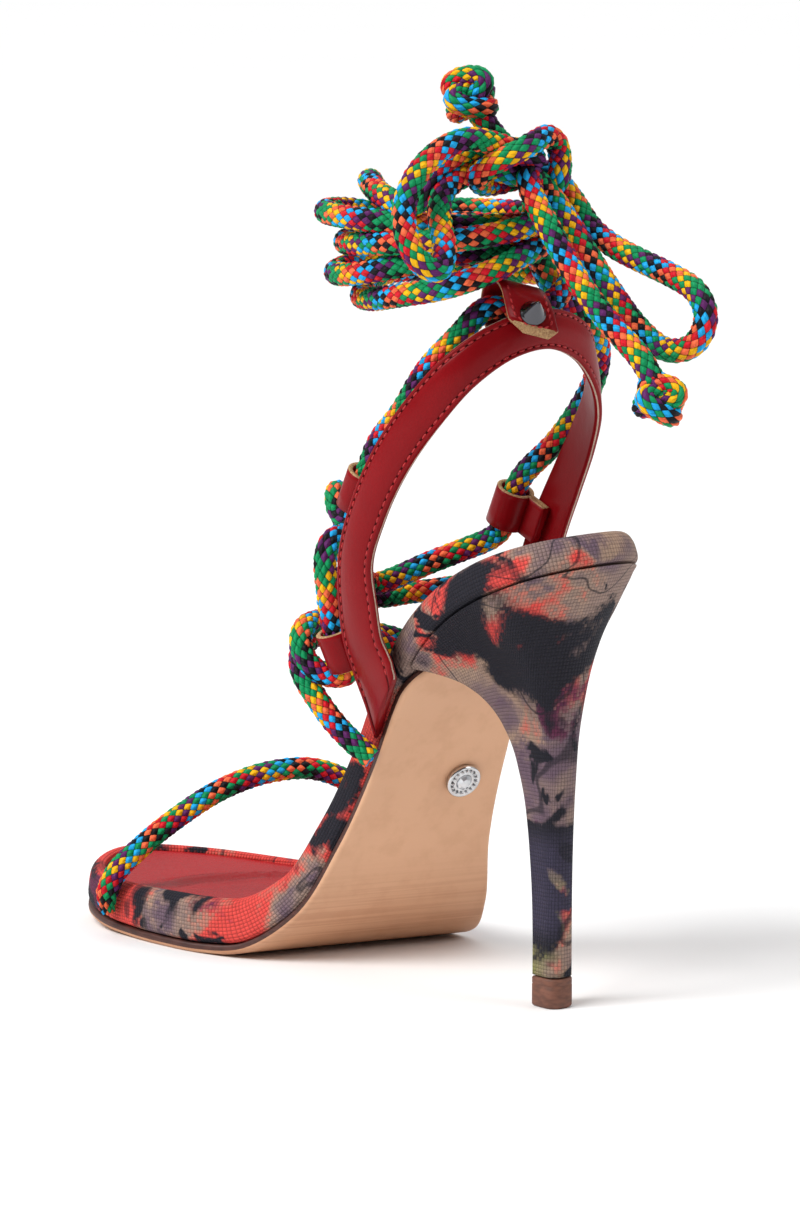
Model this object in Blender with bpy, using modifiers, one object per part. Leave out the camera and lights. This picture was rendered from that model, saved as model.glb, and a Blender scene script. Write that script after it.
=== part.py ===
"""Right stiletto sandal: canvas platform, red leather ankle sling and braided rope lace.

The heel tip rests at the origin, the toe points along +Y, the outer side of the foot is +X.
Sizes and places in the tables are millimetres; meshes are made in metres.
"""

import math
from collections import namedtuple

import bmesh
import bpy
import numpy as np
from mathutils import Matrix, Vector

MM = 0.001
GAP = 0.4

# Sole
OUTSOLE_THICK = 2.6
OUTSOLE_INSET = 0.3
PLATFORM_BASE = OUTSOLE_THICK + GAP
HEEL_ROUND = 24.0
TOE_ROUND = 38.0
RIM_WIDTH = 4.5
RECESS_DEPTH = 2.6
INSOLE_THICK = 2.0
TONGUE_START = 54.0
TONGUE_ROUND = 17.0
CAP_STEPS = 6
SIDE_PITCH = 8.5

# Heel
TIP_HEIGHT = 8.0
STEM_HALF = 4.2
STEM_BACK = 3.4
STEM_FRONT = 5.0
HORN_LENGTH = 7.0

Station = namedtuple("Station", "place y z half swing skew rim")

LAST = (
    Station("back of heel", -19.8, 116.4, 24.4, 0.0, 0.00, 11.2),
    Station("seat rear", -12.9, 114.1, 24.8, 0.0, 0.00, 11.6),
    Station("seat middle", -2.8, 109.9, 25.0, 0.0, 0.00, 12.0),
    Station("seat front", 11.0, 103.0, 24.8, 0.2, 0.03, 12.0),
    Station("breast", 24.8, 92.9, 23.0, 0.8, 0.08, 12.0),
    Station("shank rear", 38.6, 76.8, 20.6, 2.4, 0.15, 11.8),
    Station("shank", 51.5, 56.1, 20.1, 5.2, 0.22, 11.8),
    Station("waist", 63.5, 33.1, 22.0, 6.3, 0.30, 12.5),
    Station("ball rear", 75.4, 12.9, 27.5, 7.8, 0.32, 13.8),
    Station("ball", 89.2, 2.3, 33.2, 8.3, 0.32, 15.0),
    Station("tread rear", 105.8, 0.0, 35.6, 6.6, 0.30, 15.6),
    Station("tread front", 123.3, 0.0, 34.3, 4.3, 0.26, 15.2),
    Station("toe rear", 141.7, 0.5, 30.8, 1.3, 0.18, 14.4),
    Station("toe", 159.2, 1.8, 28.2, -0.8, 0.10, 14.0),
    Station("toe spring", 172.0, 3.2, 27.3, -1.6, 0.04, 13.6),
    Station("toe end", 180.0, 4.4, 27.0, -1.8, 0.00, 13.6),
)


def along(knots, values, at):
    """Smooth value between table rows, with a tangent taken from the rows either side."""
    knots = np.asarray(knots, float)
    values = np.asarray(values, float)
    slopes = np.gradient(values, knots, axis=0)
    at = min(max(at, knots[0]), knots[-1])
    i = int(np.clip(np.searchsorted(knots, at) - 1, 0, len(knots) - 2))
    step = knots[i + 1] - knots[i]
    u = (at - knots[i]) / step
    start = (1 + 2 * u) * (1 - u) ** 2 * values[i] + u * (1 - u) ** 2 * step * slopes[i]
    end = u * u * (3 - 2 * u) * values[i + 1] + u * u * (u - 1) * step * slopes[i + 1]
    return start + end


def lengths(points):
    """Running length along a row of points."""
    steps = np.linalg.norm(np.diff(np.asarray(points, float), axis=0), axis=1)
    return np.concatenate([[0.0], np.cumsum(steps)])


SPINE = lengths([(row.y, row.z) for row in LAST])
SOLE_END = float(SPINE[-1])


def last_value(column, s):
    return float(along(SPINE, [getattr(row, column) for row in LAST], s))


def spine_point(s):
    return last_value("y", s), max(0.0, last_value("z", s))


def foot_point(s, x, height):
    """Place on the sole: s along its underside from the heel, x across, height square to it."""
    y, z = spine_point(s)
    y0, z0 = spine_point(max(s - 1.0, 0.0))
    y1, z1 = spine_point(min(s + 1.0, SOLE_END))
    run = math.hypot(y1 - y0, z1 - z0)
    normal_y, normal_z = -(z1 - z0) / run, (y1 - y0) / run
    skew = last_value("skew", s)
    return Vector((x, y - skew * x + normal_y * height, z + normal_z * height))


def outline(inset, start=0.0, start_round=HEEL_ROUND):
    """Rows (s, medial x, lateral x) of the sole's plan, drawn in by inset, both ends rounded."""
    first, last = start + inset, SOLE_END - inset
    r0, r1 = start_round - inset, TOE_ROUND - inset
    turns = [math.radians(8 + 82 * i / CAP_STEPS) for i in range(CAP_STEPS + 1)]
    rows = [(first + r0 * (1 - math.cos(t)), math.sin(t)) for t in turns]
    middle_start, middle_end = start + start_round + 3.0, SOLE_END - TOE_ROUND - 3.0
    for i in range(int(SOLE_END / SIDE_PITCH)):
        if middle_start < i * SIDE_PITCH < middle_end:
            rows.append((i * SIDE_PITCH, 1.0))
    rows += [(last - r1 * (1 - math.cos(t)), math.sin(t)) for t in reversed(turns)]
    found = []
    for s, part in rows:
        half = (last_value("half", s) - inset) * part
        swing = last_value("swing", s)
        found.append((s, swing - half, swing + half))
    return found


# Scene and mesh helpers


def clear_scene():
    for obj in list(bpy.data.objects):
        bpy.data.objects.remove(obj, do_unlink=True)
    for collection in list(bpy.data.collections):
        bpy.data.collections.remove(collection)


def new_collection(name):
    collection = bpy.data.collections.new(name)
    bpy.context.scene.collection.children.link(collection)
    return collection


def material(name, colour, rough, metal=0.0):
    found = bpy.data.materials.new(name)
    found.use_nodes = True
    shader = found.node_tree.nodes["Principled BSDF"]
    shader.inputs["Base Color"].default_value = (*colour, 1.0)
    shader.inputs["Roughness"].default_value = rough
    shader.inputs["Metallic"].default_value = metal
    found.diffuse_color = (*colour, 1.0)
    return found


def add_object(name, data, look, collection):
    obj = bpy.data.objects.new(name, data)
    data.materials.append(look)
    collection.objects.link(obj)
    return obj


def mesh_object(name, points, faces, look, collection):
    """One closed mesh from points in millimetres, its faces turned outwards."""
    mesh = bpy.data.meshes.new(name)
    mesh.from_pydata([Vector(p) * MM for p in points], [], faces)
    work = bmesh.new()
    work.from_mesh(mesh)
    bmesh.ops.recalc_face_normals(work, faces=work.faces)
    work.to_mesh(mesh)
    work.free()
    return add_object(name, mesh, look, collection)


def loft_faces(rings, size):
    """Quads between neighbouring rings of one size."""
    faces = []
    for k in range(rings - 1):
        for i in range(size):
            j = (i + 1) % size
            faces.append((k * size + i, k * size + j, (k + 1) * size + j, (k + 1) * size + i))
    return faces


def ladder(offset, pairs):
    """Quads across a ring that runs out along one side and back along the other."""
    last = offset + 2 * pairs - 1
    return [(offset + i, offset + i + 1, last - i - 1, last - i) for i in range(pairs - 1)]


def plate(name, layers, look, collection, start=0.0, start_round=HEEL_ROUND):
    """Solid lofted through layers (inset, height at s), closed across at its first and last."""
    points = []
    for inset, height in layers:
        rows = outline(inset, start, start_round)
        points += [foot_point(s, medial, height(s)) for s, medial, _ in rows]
        points += [foot_point(s, lateral, height(s)) for s, _, lateral in reversed(rows)]
    pairs = len(rows)
    size = 2 * pairs
    faces = loft_faces(len(layers), size)
    faces += ladder(0, pairs) + ladder((len(layers) - 1) * size, pairs)
    return mesh_object(name, points, faces, look, collection)


# Sole pieces


def make_outsole(looks, parts):
    layers = (
        (OUTSOLE_INSET + 1.2, lambda s: 0.0),
        (OUTSOLE_INSET, lambda s: 0.7),
        (OUTSOLE_INSET, lambda s: OUTSOLE_THICK),
    )
    return plate("outsole", layers, looks["tan"], parts, TONGUE_START, TONGUE_ROUND)


def rim(s):
    return last_value("rim", s)


def make_platform(looks, parts):
    layers = (
        (1.4, lambda s: PLATFORM_BASE),
        (0.5, lambda s: PLATFORM_BASE + 0.6),
        (0.0, lambda s: 0.45 * (PLATFORM_BASE + rim(s))),
        (0.4, lambda s: rim(s) - 2.6),
        (1.3, lambda s: rim(s) - 0.9),
        (2.8, lambda s: rim(s)),
        (RIM_WIDTH, lambda s: rim(s) - 0.4),
        (RIM_WIDTH + 0.3, lambda s: rim(s) - RECESS_DEPTH),
    )
    return plate("platform", layers, looks["canvas"], parts)


def make_insole(looks, parts):
    side = RIM_WIDTH + 0.3 + GAP
    base = RECESS_DEPTH - GAP
    layers = (
        (side, lambda s: rim(s) - base),
        (side, lambda s: rim(s) - base + INSOLE_THICK - 0.6),
        (side + 0.8, lambda s: rim(s) - base + INSOLE_THICK),
    )
    return plate("insole", layers, looks["red"], parts)


Flare = namedtuple("Flare", "rise back front")

HEEL = (
    Flare(0.00, 0.000, 0.000),
    Flare(0.12, 0.000, 0.000),
    Flare(0.25, 0.006, 0.006),
    Flare(0.38, 0.025, 0.022),
    Flare(0.50, 0.062, 0.045),
    Flare(0.60, 0.110, 0.075),
    Flare(0.68, 0.190, 0.115),
    Flare(0.75, 0.285, 0.160),
    Flare(0.81, 0.400, 0.220),
    Flare(0.86, 0.530, 0.290),
    Flare(0.90, 0.670, 0.370),
    Flare(0.94, 0.800, 0.490),
    Flare(0.97, 0.900, 0.640),
    Flare(0.99, 0.960, 0.840),
    Flare(1.00, 1.000, 1.000),
)


def stem_ring(outer, inner, grow=0.0):
    """D-shaped ring: a round back through the outer shares, a flat front through the inner."""
    ring = []
    for share in outer:
        turn = math.radians(-118 + 236 * share)
        side = abs(math.sin(turn)) ** 0.75
        x = math.copysign((STEM_HALF + grow) * side, math.sin(turn))
        back = math.cos(turn)
        reach = (STEM_BACK if back > 0 else STEM_FRONT / 0.4695) + grow
        ring.append((x, -back * reach))
    x_end, y_end = ring[-1]
    for share in inner:
        ring.append((x_end * (1 - 2 * share), y_end))
    return ring


def heel_top():
    """Seat ring of the heel: out round the back of the seat, then in along the outsole's end."""
    inset, clear = 0.9, 2 * GAP - OUTSOLE_INSET
    rows = [row for row in outline(inset) if row[0] < TONGUE_START - 6.0]
    front, swing = TONGUE_START - clear, last_value("swing", TONGUE_START)
    sides = [(s, m, l) for s, m, l in rows]
    arc = [swing]
    horn = []
    for i in range(6):
        s = front + HORN_LENGTH * (i / 5.0) ** 1.4
        half = last_value("half", s) - inset
        middle = last_value("swing", s)
        horn.append((s, middle - half, middle + half))
        if i:
            reach = (TONGUE_ROUND + clear - (s - front)) / (TONGUE_ROUND + clear)
            width = (last_value("half", s) + clear) * math.sqrt(1 - reach * reach)
            arc.append(min(width, half - 1.2))
    sides += horn
    height = OUTSOLE_THICK - 0.2
    outer = [foot_point(s, m, height) for s, m, _ in reversed(sides)]
    outer += [foot_point(s, l, height) for s, _, l in sides]
    inner = []
    for i in range(5, 0, -1):
        middle = last_value("swing", horn[i][0])
        inner.append(foot_point(horn[i][0], middle + arc[i], height))
    inner.append(foot_point(horn[0][0], arc[0], height))
    for i in range(1, 6):
        middle = last_value("swing", horn[i][0])
        inner.append(foot_point(horn[i][0], middle - arc[i], height))
    return outer, inner


def make_heel(looks, parts):
    outer, inner = heel_top()
    shares = lengths(outer)
    outer_shares = list(shares / shares[-1])
    inner_shares = [(i + 1) / (len(inner) + 1) for i in range(len(inner))]
    stem = stem_ring(outer_shares, inner_shares)
    top = outer + inner
    base = TIP_HEIGHT + GAP
    sides = [abs(2 * share - 1) for share in outer_shares]
    fronts = [min(max((side - 0.4) / 0.5, 0.0), 1.0) for side in sides] + [1.0] * len(inner)
    points = []
    for row in HEEL:
        for (x, y), end, front in zip(stem, top, fronts):
            blend = row.back + (row.front - row.back) * front * front * (3 - 2 * front)
            place = Vector((x, y, base)).lerp(end, blend)
            place.z = base + (end.z - base) * row.rise
            points.append(place)
    size = len(top)
    faces = loft_faces(len(HEEL), size)
    faces.append(tuple(range(size)))
    start = (len(HEEL) - 1) * size
    pairs = len(outer) // 2
    seat = pairs - 6
    centre = start + len(outer) + 5
    for i in range(seat):
        m = start + pairs - 1 - i
        l = start + pairs + i
        faces.append((m, m - 1, l + 1, l))
    faces.append((start + 5, centre, start + len(outer) - 6))
    for i in range(5):
        l = start + len(outer) - 6 + i
        faces.append((l, l + 1, centre - i - 1, centre - i))
        m = start + 5 - i
        faces.append((m, m - 1, centre + i + 1, centre + i))
    return mesh_object("heel", points, faces, looks["canvas"], parts)


def make_heel_tip(looks, parts):
    outer = [i / 20.0 for i in range(21)]
    inner = [(i + 1) / 6.0 for i in range(5)]
    rings = ((0.0, -0.5), (0.6, 0.1), (TIP_HEIGHT - 0.3, 0.1), (TIP_HEIGHT, -0.2))
    points = []
    for z, grow in rings:
        points += [(x, y, z) for x, y in stem_ring(outer, inner, grow)]
    size = len(outer) + len(inner)
    faces = loft_faces(len(rings), size)
    faces += [tuple(range(size)), tuple(range(3 * size, 4 * size))]
    return mesh_object("heel_tip", points, faces, looks["brown"], parts)


# Leather sling, keepers and tab

SLING_THICK = 2.2
SLING_WIDTH = 13.0
SLING_STEPS = 46
KEEPER_LENGTH = 11.0
KEEPER_WALL = 1.3
ROPE_RADIUS = 3.1
LOOP_RADIUS = ROPE_RADIUS + 0.8
TAB_WIDTH = 13.2
TAB_THICK = 1.4

Band = namedtuple("Band", "place x y z width facing lean")

SLING = (
    Band("medial end", -20.0, 46.8, 74.6, 19.6, 101, -52),
    Band("medial flare", -21.5, 47.2, 79.5, 18.0, 101, -38),
    Band("medial foot", -23.8, 47.6, 86.5, 16.0, 99, -16),
    Band("medial keeper", -26.5, 47.6, 94.0, 14.2, 96, -3),
    Band("medial low", -28.6, 46.8, 103.5, 13.2, 93, 0),
    Band("medial bow", -30.5, 44.4, 116.5, 13.0, 92, 0),
    Band("medial mid", -31.0, 38.8, 130.0, 12.6, 88, 0),
    Band("medial high", -30.5, 29.6, 145.0, 12.0, 80, 0),
    Band("medial rise", -28.5, 19.6, 157.5, 11.5, 66, 0),
    Band("medial turn", -24.0, 11.6, 167.5, 11.0, 48, 0),
    Band("back medial", -14.0, 6.0, 175.0, 10.6, 24, 0),
    Band("back", 0.0, 4.0, 177.5, 10.5, 0, 0),
    Band("back lateral", 14.0, 6.5, 173.0, 10.6, -24, 0),
    Band("lateral turn", 23.2, 11.5, 164.5, 11.0, -50, 0),
    Band("lateral rise", 28.3, 16.5, 155.5, 11.0, -66, 0),
    Band("lateral high", 31.2, 23.0, 145.5, 11.5, -76, 0),
    Band("lateral mid", 32.6, 30.5, 133.5, 12.0, -84, 0),
    Band("lateral bow", 33.2, 38.0, 120.0, 12.6, -90, 0),
    Band("lateral low", 32.6, 43.0, 106.0, 13.0, -93, 0),
    Band("lateral keeper", 31.5, 45.4, 94.0, 13.0, -95, 3),
    Band("lateral foot", 30.2, 46.0, 84.5, 13.8, -95, 16),
    Band("lateral flare", 28.9, 45.4, 76.0, 17.6, -96, 38),
    Band("lateral end", 28.3, 44.8, 70.6, 19.0, -96, 52),
)

SLING_RUN = lengths([(row.x, row.y, row.z) for row in SLING])


def sling_value(column, at):
    return float(along(SLING_RUN, [getattr(row, column) for row in SLING], at))


def sling_centre(at):
    return Vector([sling_value(column, at) for column in "xyz"])


def sling_frame(at):
    """Centre, run, outward facing and forward width of the sling at a length along it."""
    run = (sling_centre(min(at + 1, SLING_RUN[-1])) - sling_centre(max(at - 1, 0.0))).normalized()
    turn = math.radians(sling_value("facing", at))
    facing = Vector((-math.sin(turn), -math.cos(turn), 0.0))
    facing = (facing - run * facing.dot(run)).normalized()
    return sling_centre(at), run, facing, facing.cross(run)


def band_section(centre, width_way, facing, width, thick):
    """Eight points round a flat band with eased edges."""
    half, side, ease = width / 2, thick / 2, thick * 0.3
    ring = []
    for w, f in (
        (half, side - ease),
        (half - ease, side),
        (ease - half, side),
        (-half, side - ease),
        (-half, ease - side),
        (ease - half, -side),
        (half - ease, -side),
        (half, ease - side),
    ):
        ring.append(centre + width_way * w + facing * f)
    return ring


def band_object(name, sections, look, collection):
    points = [point for ring in sections for point in ring]
    faces = loft_faces(len(sections), 8)
    faces += [tuple(range(8)), tuple(range(len(points) - 8, len(points)))]
    return mesh_object(name, points, faces, look, collection)


def make_sling(looks, parts):
    sections = []
    for i in range(SLING_STEPS + 1):
        at = SLING_RUN[-1] * i / SLING_STEPS
        centre, run, facing, forward = sling_frame(at)
        lean = math.radians(sling_value("lean", at))
        way = forward * math.cos(lean) + run * math.sin(lean)
        sections.append(band_section(centre, way, facing, sling_value("width", at), SLING_THICK))
    return band_object("ankle_sling", sections, looks["red"], parts)


Keeper = namedtuple("Keeper", "name row shift reach depth")

KEEPERS = (
    Keeper("keeper_medial_lower", 3, -3.6, 13.1, 1.8),
    Keeper("keeper_medial_upper", 6, -1.0, 10.0, 6.2),
    Keeper("keeper_lateral_upper", 17, 0.0, 11.6, 4.6),
    Keeper("keeper_lateral_lower", 19, 5.5, 12.4, 3.0),
)


def keeper_frame(keeper):
    """Loop centre, axis up, forward way and inward way of a keeper."""
    centre, run, facing, forward = sling_frame(float(SLING_RUN[keeper.row]) + keeper.shift)
    axis = run if run.z > 0 else -run
    inward = -facing
    return centre + forward * keeper.reach + inward * keeper.depth, axis, forward, inward


def circle_points(radius, start, end, steps):
    turns = [math.radians(start + (end - start) * i / steps) for i in range(steps + 1)]
    return [(radius * math.cos(t), radius * math.sin(t)) for t in turns]


def flat_curve(name, loops, depth, look, collection):
    """Flat outline with holes, given thickness both ways; loops are in millimetres."""
    curve = bpy.data.curves.new(name, "CURVE")
    curve.dimensions = "2D"
    curve.fill_mode = "BOTH"
    curve.extrude = depth / 2 * MM
    for loop in loops:
        spline = curve.splines.new("POLY")
        spline.points.add(len(loop) - 1)
        for point, (x, y) in zip(spline.points, loop):
            point.co = (x * MM, y * MM, 0.0, 1.0)
        spline.use_cyclic_u = True
    return add_object(name, curve, look, collection)


def make_keeper(keeper, looks, parts):
    """Folded loop: round the rope, its two ends laid flat against the sling's inner face."""
    outer = LOOP_RADIUS + KEEPER_WALL
    near = SLING_THICK / 2 + GAP - keeper.depth
    far = near + 2 * KEEPER_WALL
    back = 0.5 - keeper.reach
    first = 180 - math.degrees(math.asin(near / outer))
    last = 540 - math.degrees(math.asin(far / outer))
    shape = [(back, far), (back, near)] + circle_points(outer, first, last, 18)
    hole = circle_points(LOOP_RADIUS, 0, 360, 14)[:-1]
    obj = flat_curve(keeper.name, (shape, hole), KEEPER_LENGTH, looks["red"], parts)
    centre, axis, forward, inward = keeper_frame(keeper)
    if forward.cross(inward).dot(axis) < 0:
        axis = -axis
    frame = Matrix((forward, inward, axis)).transposed().to_4x4()
    obj.matrix_world = Matrix.Translation(centre * MM) @ frame
    return obj


TAB_PLACE = -8.5
TAB_YAW = 9.0
TAB_ROLL = 15.0
TAB_TILT = 34.0
Fold = namedtuple("Fold", "out up turn width twist")

TAB = (
    Fold(8.0, 0.8, TAB_TILT, 7.6, 18),
    Fold(6.6, 2.9, TAB_TILT, TAB_WIDTH, 18),
    Fold(5.0, 5.3, TAB_TILT, TAB_WIDTH, 18),
    Fold(3.3, 7.8, 35, TAB_WIDTH, 14),
    Fold(1.8, 9.6, 43, TAB_WIDTH, 9),
    Fold(-0.2, 11.0, 58, TAB_WIDTH, 4),
    Fold(-2.6, 11.9, 74, TAB_WIDTH, 0),
    Fold(-6.0, 12.1, 93, TAB_WIDTH, 0),
    Fold(-9.2, 10.8, 122, TAB_WIDTH, 0),
    Fold(-11.3, 8.2, 152, TAB_WIDTH, 0),
    Fold(-11.9, 5.0, 180, TAB_WIDTH, 0),
    Fold(-11.2, 2.0, 208, TAB_WIDTH, 0),
    Fold(-9.2, -0.2, 238, TAB_WIDTH, 0),
    Fold(-7.0, -1.3, 245, TAB_WIDTH, 0),
    Fold(-5.2, -2.6, 222, TAB_WIDTH, 0),
    Fold(-4.0, -4.5, 190, TAB_WIDTH, 0),
    Fold(-3.9, -6.4, 180, TAB_WIDTH, 0),
)


def tab_frame():
    """Sling centre, facing and run where the tab sits."""
    spots = np.linspace(SLING_RUN[9], SLING_RUN[12], 200)
    at = min(spots, key=lambda spot: abs(sling_value("x", spot) - TAB_PLACE))
    return sling_frame(float(at))


def tab_axes(twist=0.0):
    """Centre of the tab, then its out and side ways: turned to the inner side, the side rolled."""
    centre, run, facing, forward = tab_frame()
    heading = math.atan2(run.y, run.x) - math.radians(TAB_YAW + twist)
    level = Vector((math.cos(heading), math.sin(heading), 0.0))
    out = Vector((level.y, -level.x, 0.0))
    roll = math.radians(TAB_ROLL)
    return centre, out, level * math.cos(roll) - Vector((0, 0, math.sin(roll)))


def tab_place(out, up):
    """Place on the tab's path, out from the sling and up from its middle."""
    centre, way, side = tab_axes()
    return centre + way * out + Vector((0, 0, up))


def make_tab(looks, parts):
    sections = []
    for fold in TAB:
        centre, out, side = tab_axes(fold.twist)
        turn = math.radians(fold.turn)
        normal = out * math.cos(turn) + Vector((0, 0, math.sin(turn)))
        sections.append(band_section(tab_place(fold.out, fold.up), side, normal, fold.width, TAB_THICK))
    return band_object("heel_tab", sections, looks["red"], parts)


def tab_normal():
    """Way that the tab's flap faces, square to its width and its fall."""
    centre, out, side = tab_axes(TAB[1].twist)
    fall = tab_place(TAB[1].out, TAB[1].up) - tab_place(TAB[2].out, TAB[2].up)
    return fall.cross(side).normalized()


def turned(name, profile, steps, look, collection):
    """Solid turned round its own Z from (radius, height) in millimetres."""
    mesh = bpy.data.meshes.new(name)
    points = [(r * MM, 0.0, z * MM) for r, z in profile]
    mesh.from_pydata(points, [(i, i + 1) for i in range(len(points) - 1)], [])
    obj = add_object(name, mesh, look, collection)
    screw = obj.modifiers.new("Turn", "SCREW")
    screw.steps = screw.render_steps = steps
    screw.use_merge_vertices = True
    screw.merge_threshold = 0.00005
    screw.use_normal_calculate = True
    return obj


def stand_on(obj, place, axis):
    """Puts a turned solid at a place with its Z along an axis."""
    turn = Vector((0, 0, 1)).rotation_difference(axis).to_matrix().to_4x4()
    obj.matrix_world = Matrix.Translation(place * MM) @ turn


SPIKE = ((0.0, 0.0), (3.3, 0.0), (3.4, 0.6), (3.0, 1.1), (1.2, 4.6), (0.35, 6.2), (0.0, 6.4))
BUTTON = ((0.0, 0.0), (4.8, 0.0), (5.0, 0.9), (4.6, 1.5), (2.6, 1.6), (2.4, 1.2), (1.7, 1.2), (1.4, 2.2), (0.0, 2.5))
BUTTON_S = 101.0
BUTTON_X = 13.0


def make_metal(looks, parts):
    normal = tab_normal()
    spike = turned("tab_spike", SPIKE, 20, looks["steel"], parts)
    stand_on(spike, tab_place(5.3, 4.9) + normal * (TAB_THICK / 2 + GAP), normal)
    button = turned("sole_button", BUTTON, 24, looks["steel"], parts)
    ahead = foot_point(BUTTON_S + 4.0, BUTTON_X, 0.0) - foot_point(BUTTON_S - 4.0, BUTTON_X, 0.0)
    across = foot_point(BUTTON_S, BUTTON_X + 4.0, 0.0) - foot_point(BUTTON_S, BUTTON_X - 4.0, 0.0)
    down = ahead.cross(across).normalized()
    stand_on(button, foot_point(BUTTON_S, BUTTON_X, 0.0) + down * GAP, down)


# Rope: routes are chosen by hand, in millimetres

TOE_ROPE = (
    (-31.6, 147.2, 6.6),
    (-32.6, 146.6, 11.5),
    (-31.2, 144.6, 17.5),
    (-25.0, 140.8, 25.0),
    (-15.0, 136.0, 33.2),
    (-4.0, 130.0, 40.5),
    (8.0, 124.0, 44.5),
    (20.0, 119.5, 44.5),
    (31.0, 116.0, 39.5),
    (39.0, 113.5, 30.5),
    (43.4, 112.0, 21.0),
    (44.1, 111.5, 13.0),
    (42.9, 111.5, 6.6),
)

THROUGH = 7.5

STRAND_P = (
    (-18.6, 51.4, 61.2),
    (-21.4, 56.0, 65.4),
    (-23.4, 62.0, 70.8),
    (-24.8, 67.0, 76.6),
    (-25.4, 71.0, 81.2),
    (-24.2, 74.4, 85.2),
    (-19.6, 77.6, 88.6),
    (-11.8, 80.0, 90.6),
    (0.0, 81.0, 90.6),
    (10.0, 79.6, 88.4),
    (20.0, 75.0, 84.0),
    (26.0, 70.0, 77.5),
    (28.0, 63.5, 73.5),
)

STRAND_P_BACK = (
    (25.4, 63.0, 101.8),
    (20.0, 68.0, 100.8),
    (14.6, 74.5, 99.8),
    (8.0, 78.0, 98.8),
    (1.5, 78.0, 101.0),
    (-4.5, 75.5, 107.5),
    (-10.5, 71.0, 117.0),
    (-16.0, 66.5, 127.6),
    (-20.6, 62.8, 132.0),
    (-24.0, 59.6, 130.8),
    (-25.4, 56.6, 126.2),
)

STRAND_Q = (
    (29.4, 54.5, 58.2),
    (31.6, 58.0, 62.0),
    (30.0, 63.0, 66.5),
    (25.5, 68.0, 72.0),
    (16.0, 73.0, 80.0),
    (2.0, 77.0, 89.0),
    (-9.5, 77.8, 93.8),
    (-18.0, 75.8, 95.0),
    (-24.2, 73.2, 93.6),
    (-26.6, 71.2, 89.4),
    (-25.6, 68.6, 85.0),
    (-21.8, 64.0, 81.8),
)

STRAND_Q_BACK = (
    (-26.2, 60.6, 107.4),
    (-26.8, 61.0, 113.0),
    (-24.6, 62.0, 118.0),
    (-19.6, 63.4, 119.8),
    (-13.4, 66.0, 116.6),
    (-7.0, 69.6, 109.4),
    (0.0, 72.6, 103.4),
    (6.8, 69.6, 105.4),
    (13.0, 64.5, 109.0),
    (19.4, 58.6, 112.4),
)


RISER_MEDIAL = (
    (-24.5, 33.0, 155.5),
    (-23.0, 25.0, 167.0),
    (-18.0, 17.5, 176.5),
)

RISER_MEDIAL_END = (
    (7.9, 10.9, 183.4),
    (9.4, 10.8, 189.3),
)

RISER_LATERAL = (
    (33.4, 36.4, 142.4),
    (36.6, 30.6, 151.5),
    (37.4, 25.4, 160.0),
    (34.4, 20.6, 169.5),
    (27.0, 18.6, 178.0),
    (18.4, 19.0, 182.6),
    (14.2, 19.4, 187.6),
)

KNOT_CENTRE = (-4.0, 7.2, 217.4)
KNOT_RADII = (9.5, 8.0, 7.6)

LOOP_MEDIAL = (
    (-8.0, 6.6, 223.0),
    (-15.6, 9.2, 225.6),
    (-22.1, 9.9, 227.0),
    (-28.4, 11.7, 225.2),
    (-34.0, 12.7, 221.6),
    (-39.7, 12.8, 215.8),
    (-43.1, 11.9, 209.2),
    (-44.3, 8.9, 202.0),
    (-43.0, 5.3, 196.2),
    (-39.0, 3.4, 194.0),
    (-34.6, 5.4, 198.5),
    (-31.7, 9.9, 203.4),
    (-29.6, 13.5, 208.8),
    (-24.6, 16.6, 213.8),
    (-17.0, 17.0, 217.2),
    (-9.4, 13.6, 218.6),
    (-4.0, 10.0, 216.2),
)

LOOP_BACK = (
    (4.0, 11.0, 218.0),
    (9.6, 5.4, 210.4),
    (10.4, -0.4, 203.4),
    (10.4, -8.5, 199.2),
    (10.0, -19.2, 196.0),
    (9.8, -32.0, 192.5),
    (9.0, -41.0, 189.1),
    (7.5, -45.7, 183.0),
    (6.0, -43.8, 176.9),
    (4.6, -34.9, 174.3),
    (3.6, -26.2, 178.8),
    (3.0, -17.3, 186.9),
    (2.4, -8.7, 196.3),
    (2.0, -0.3, 206.1),
    (0.0, 5.1, 213.1),
)

END_UPPER = (
    (0.0, 13.2, 219.0),
    (-1.0, 17.6, 222.2),
    (-3.0, 21.2, 226.3),
    (-5.0, 23.6, 230.6),
    (-6.0, 27.5, 236.0),
)

END_LOWER = (
    (-7.0, 5.0, 217.5),
    (-7.6, 2.4, 212.6),
    (-8.4, -4.1, 205.3),
    (-8.2, -11.7, 195.6),
    (-7.4, -19.3, 186.9),
    (-6.6, -29.0, 178.7),
    (-5.8, -37.0, 172.0),
    (-5.0, -41.7, 164.0),
)

END_KNOTS = (
    ("lace_end_knot_upper", (-6.0, 27.5, 236.3), (7.0, 7.4, 8.0)),
    ("lace_end_knot_lower", (-5.0, -41.7, 163.0), (6.0, 6.2, 7.6)),
)

WRAP_CENTRE = (-4.0, 39.5)
WRAP_REACH = (25.0, 28.5)
WRAP_STEPS = 36
Wrap = namedtuple("Wrap", "place z tall thick")
WRAP_FAN = Wrap("inner front", 197.8, 38.0, 11.0)
WRAP_BUNCH = Wrap("back", 200.6, 17.4, 13.0)
WRAP_DIP = 2.5


def through(keeper, reach=THROUGH):
    """Three points that carry a rope up through a keeper."""
    centre, axis, _, _ = keeper_frame(keeper)
    return [tuple(centre - axis * reach), tuple(centre), tuple(centre + axis * reach)]


def beyond(keeper):
    """Two points that carry a rope on from where the crossings end above a keeper."""
    return [through(keeper, reach)[-1] for reach in (THROUGH + 0.9, THROUGH + 6.0)]


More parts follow.
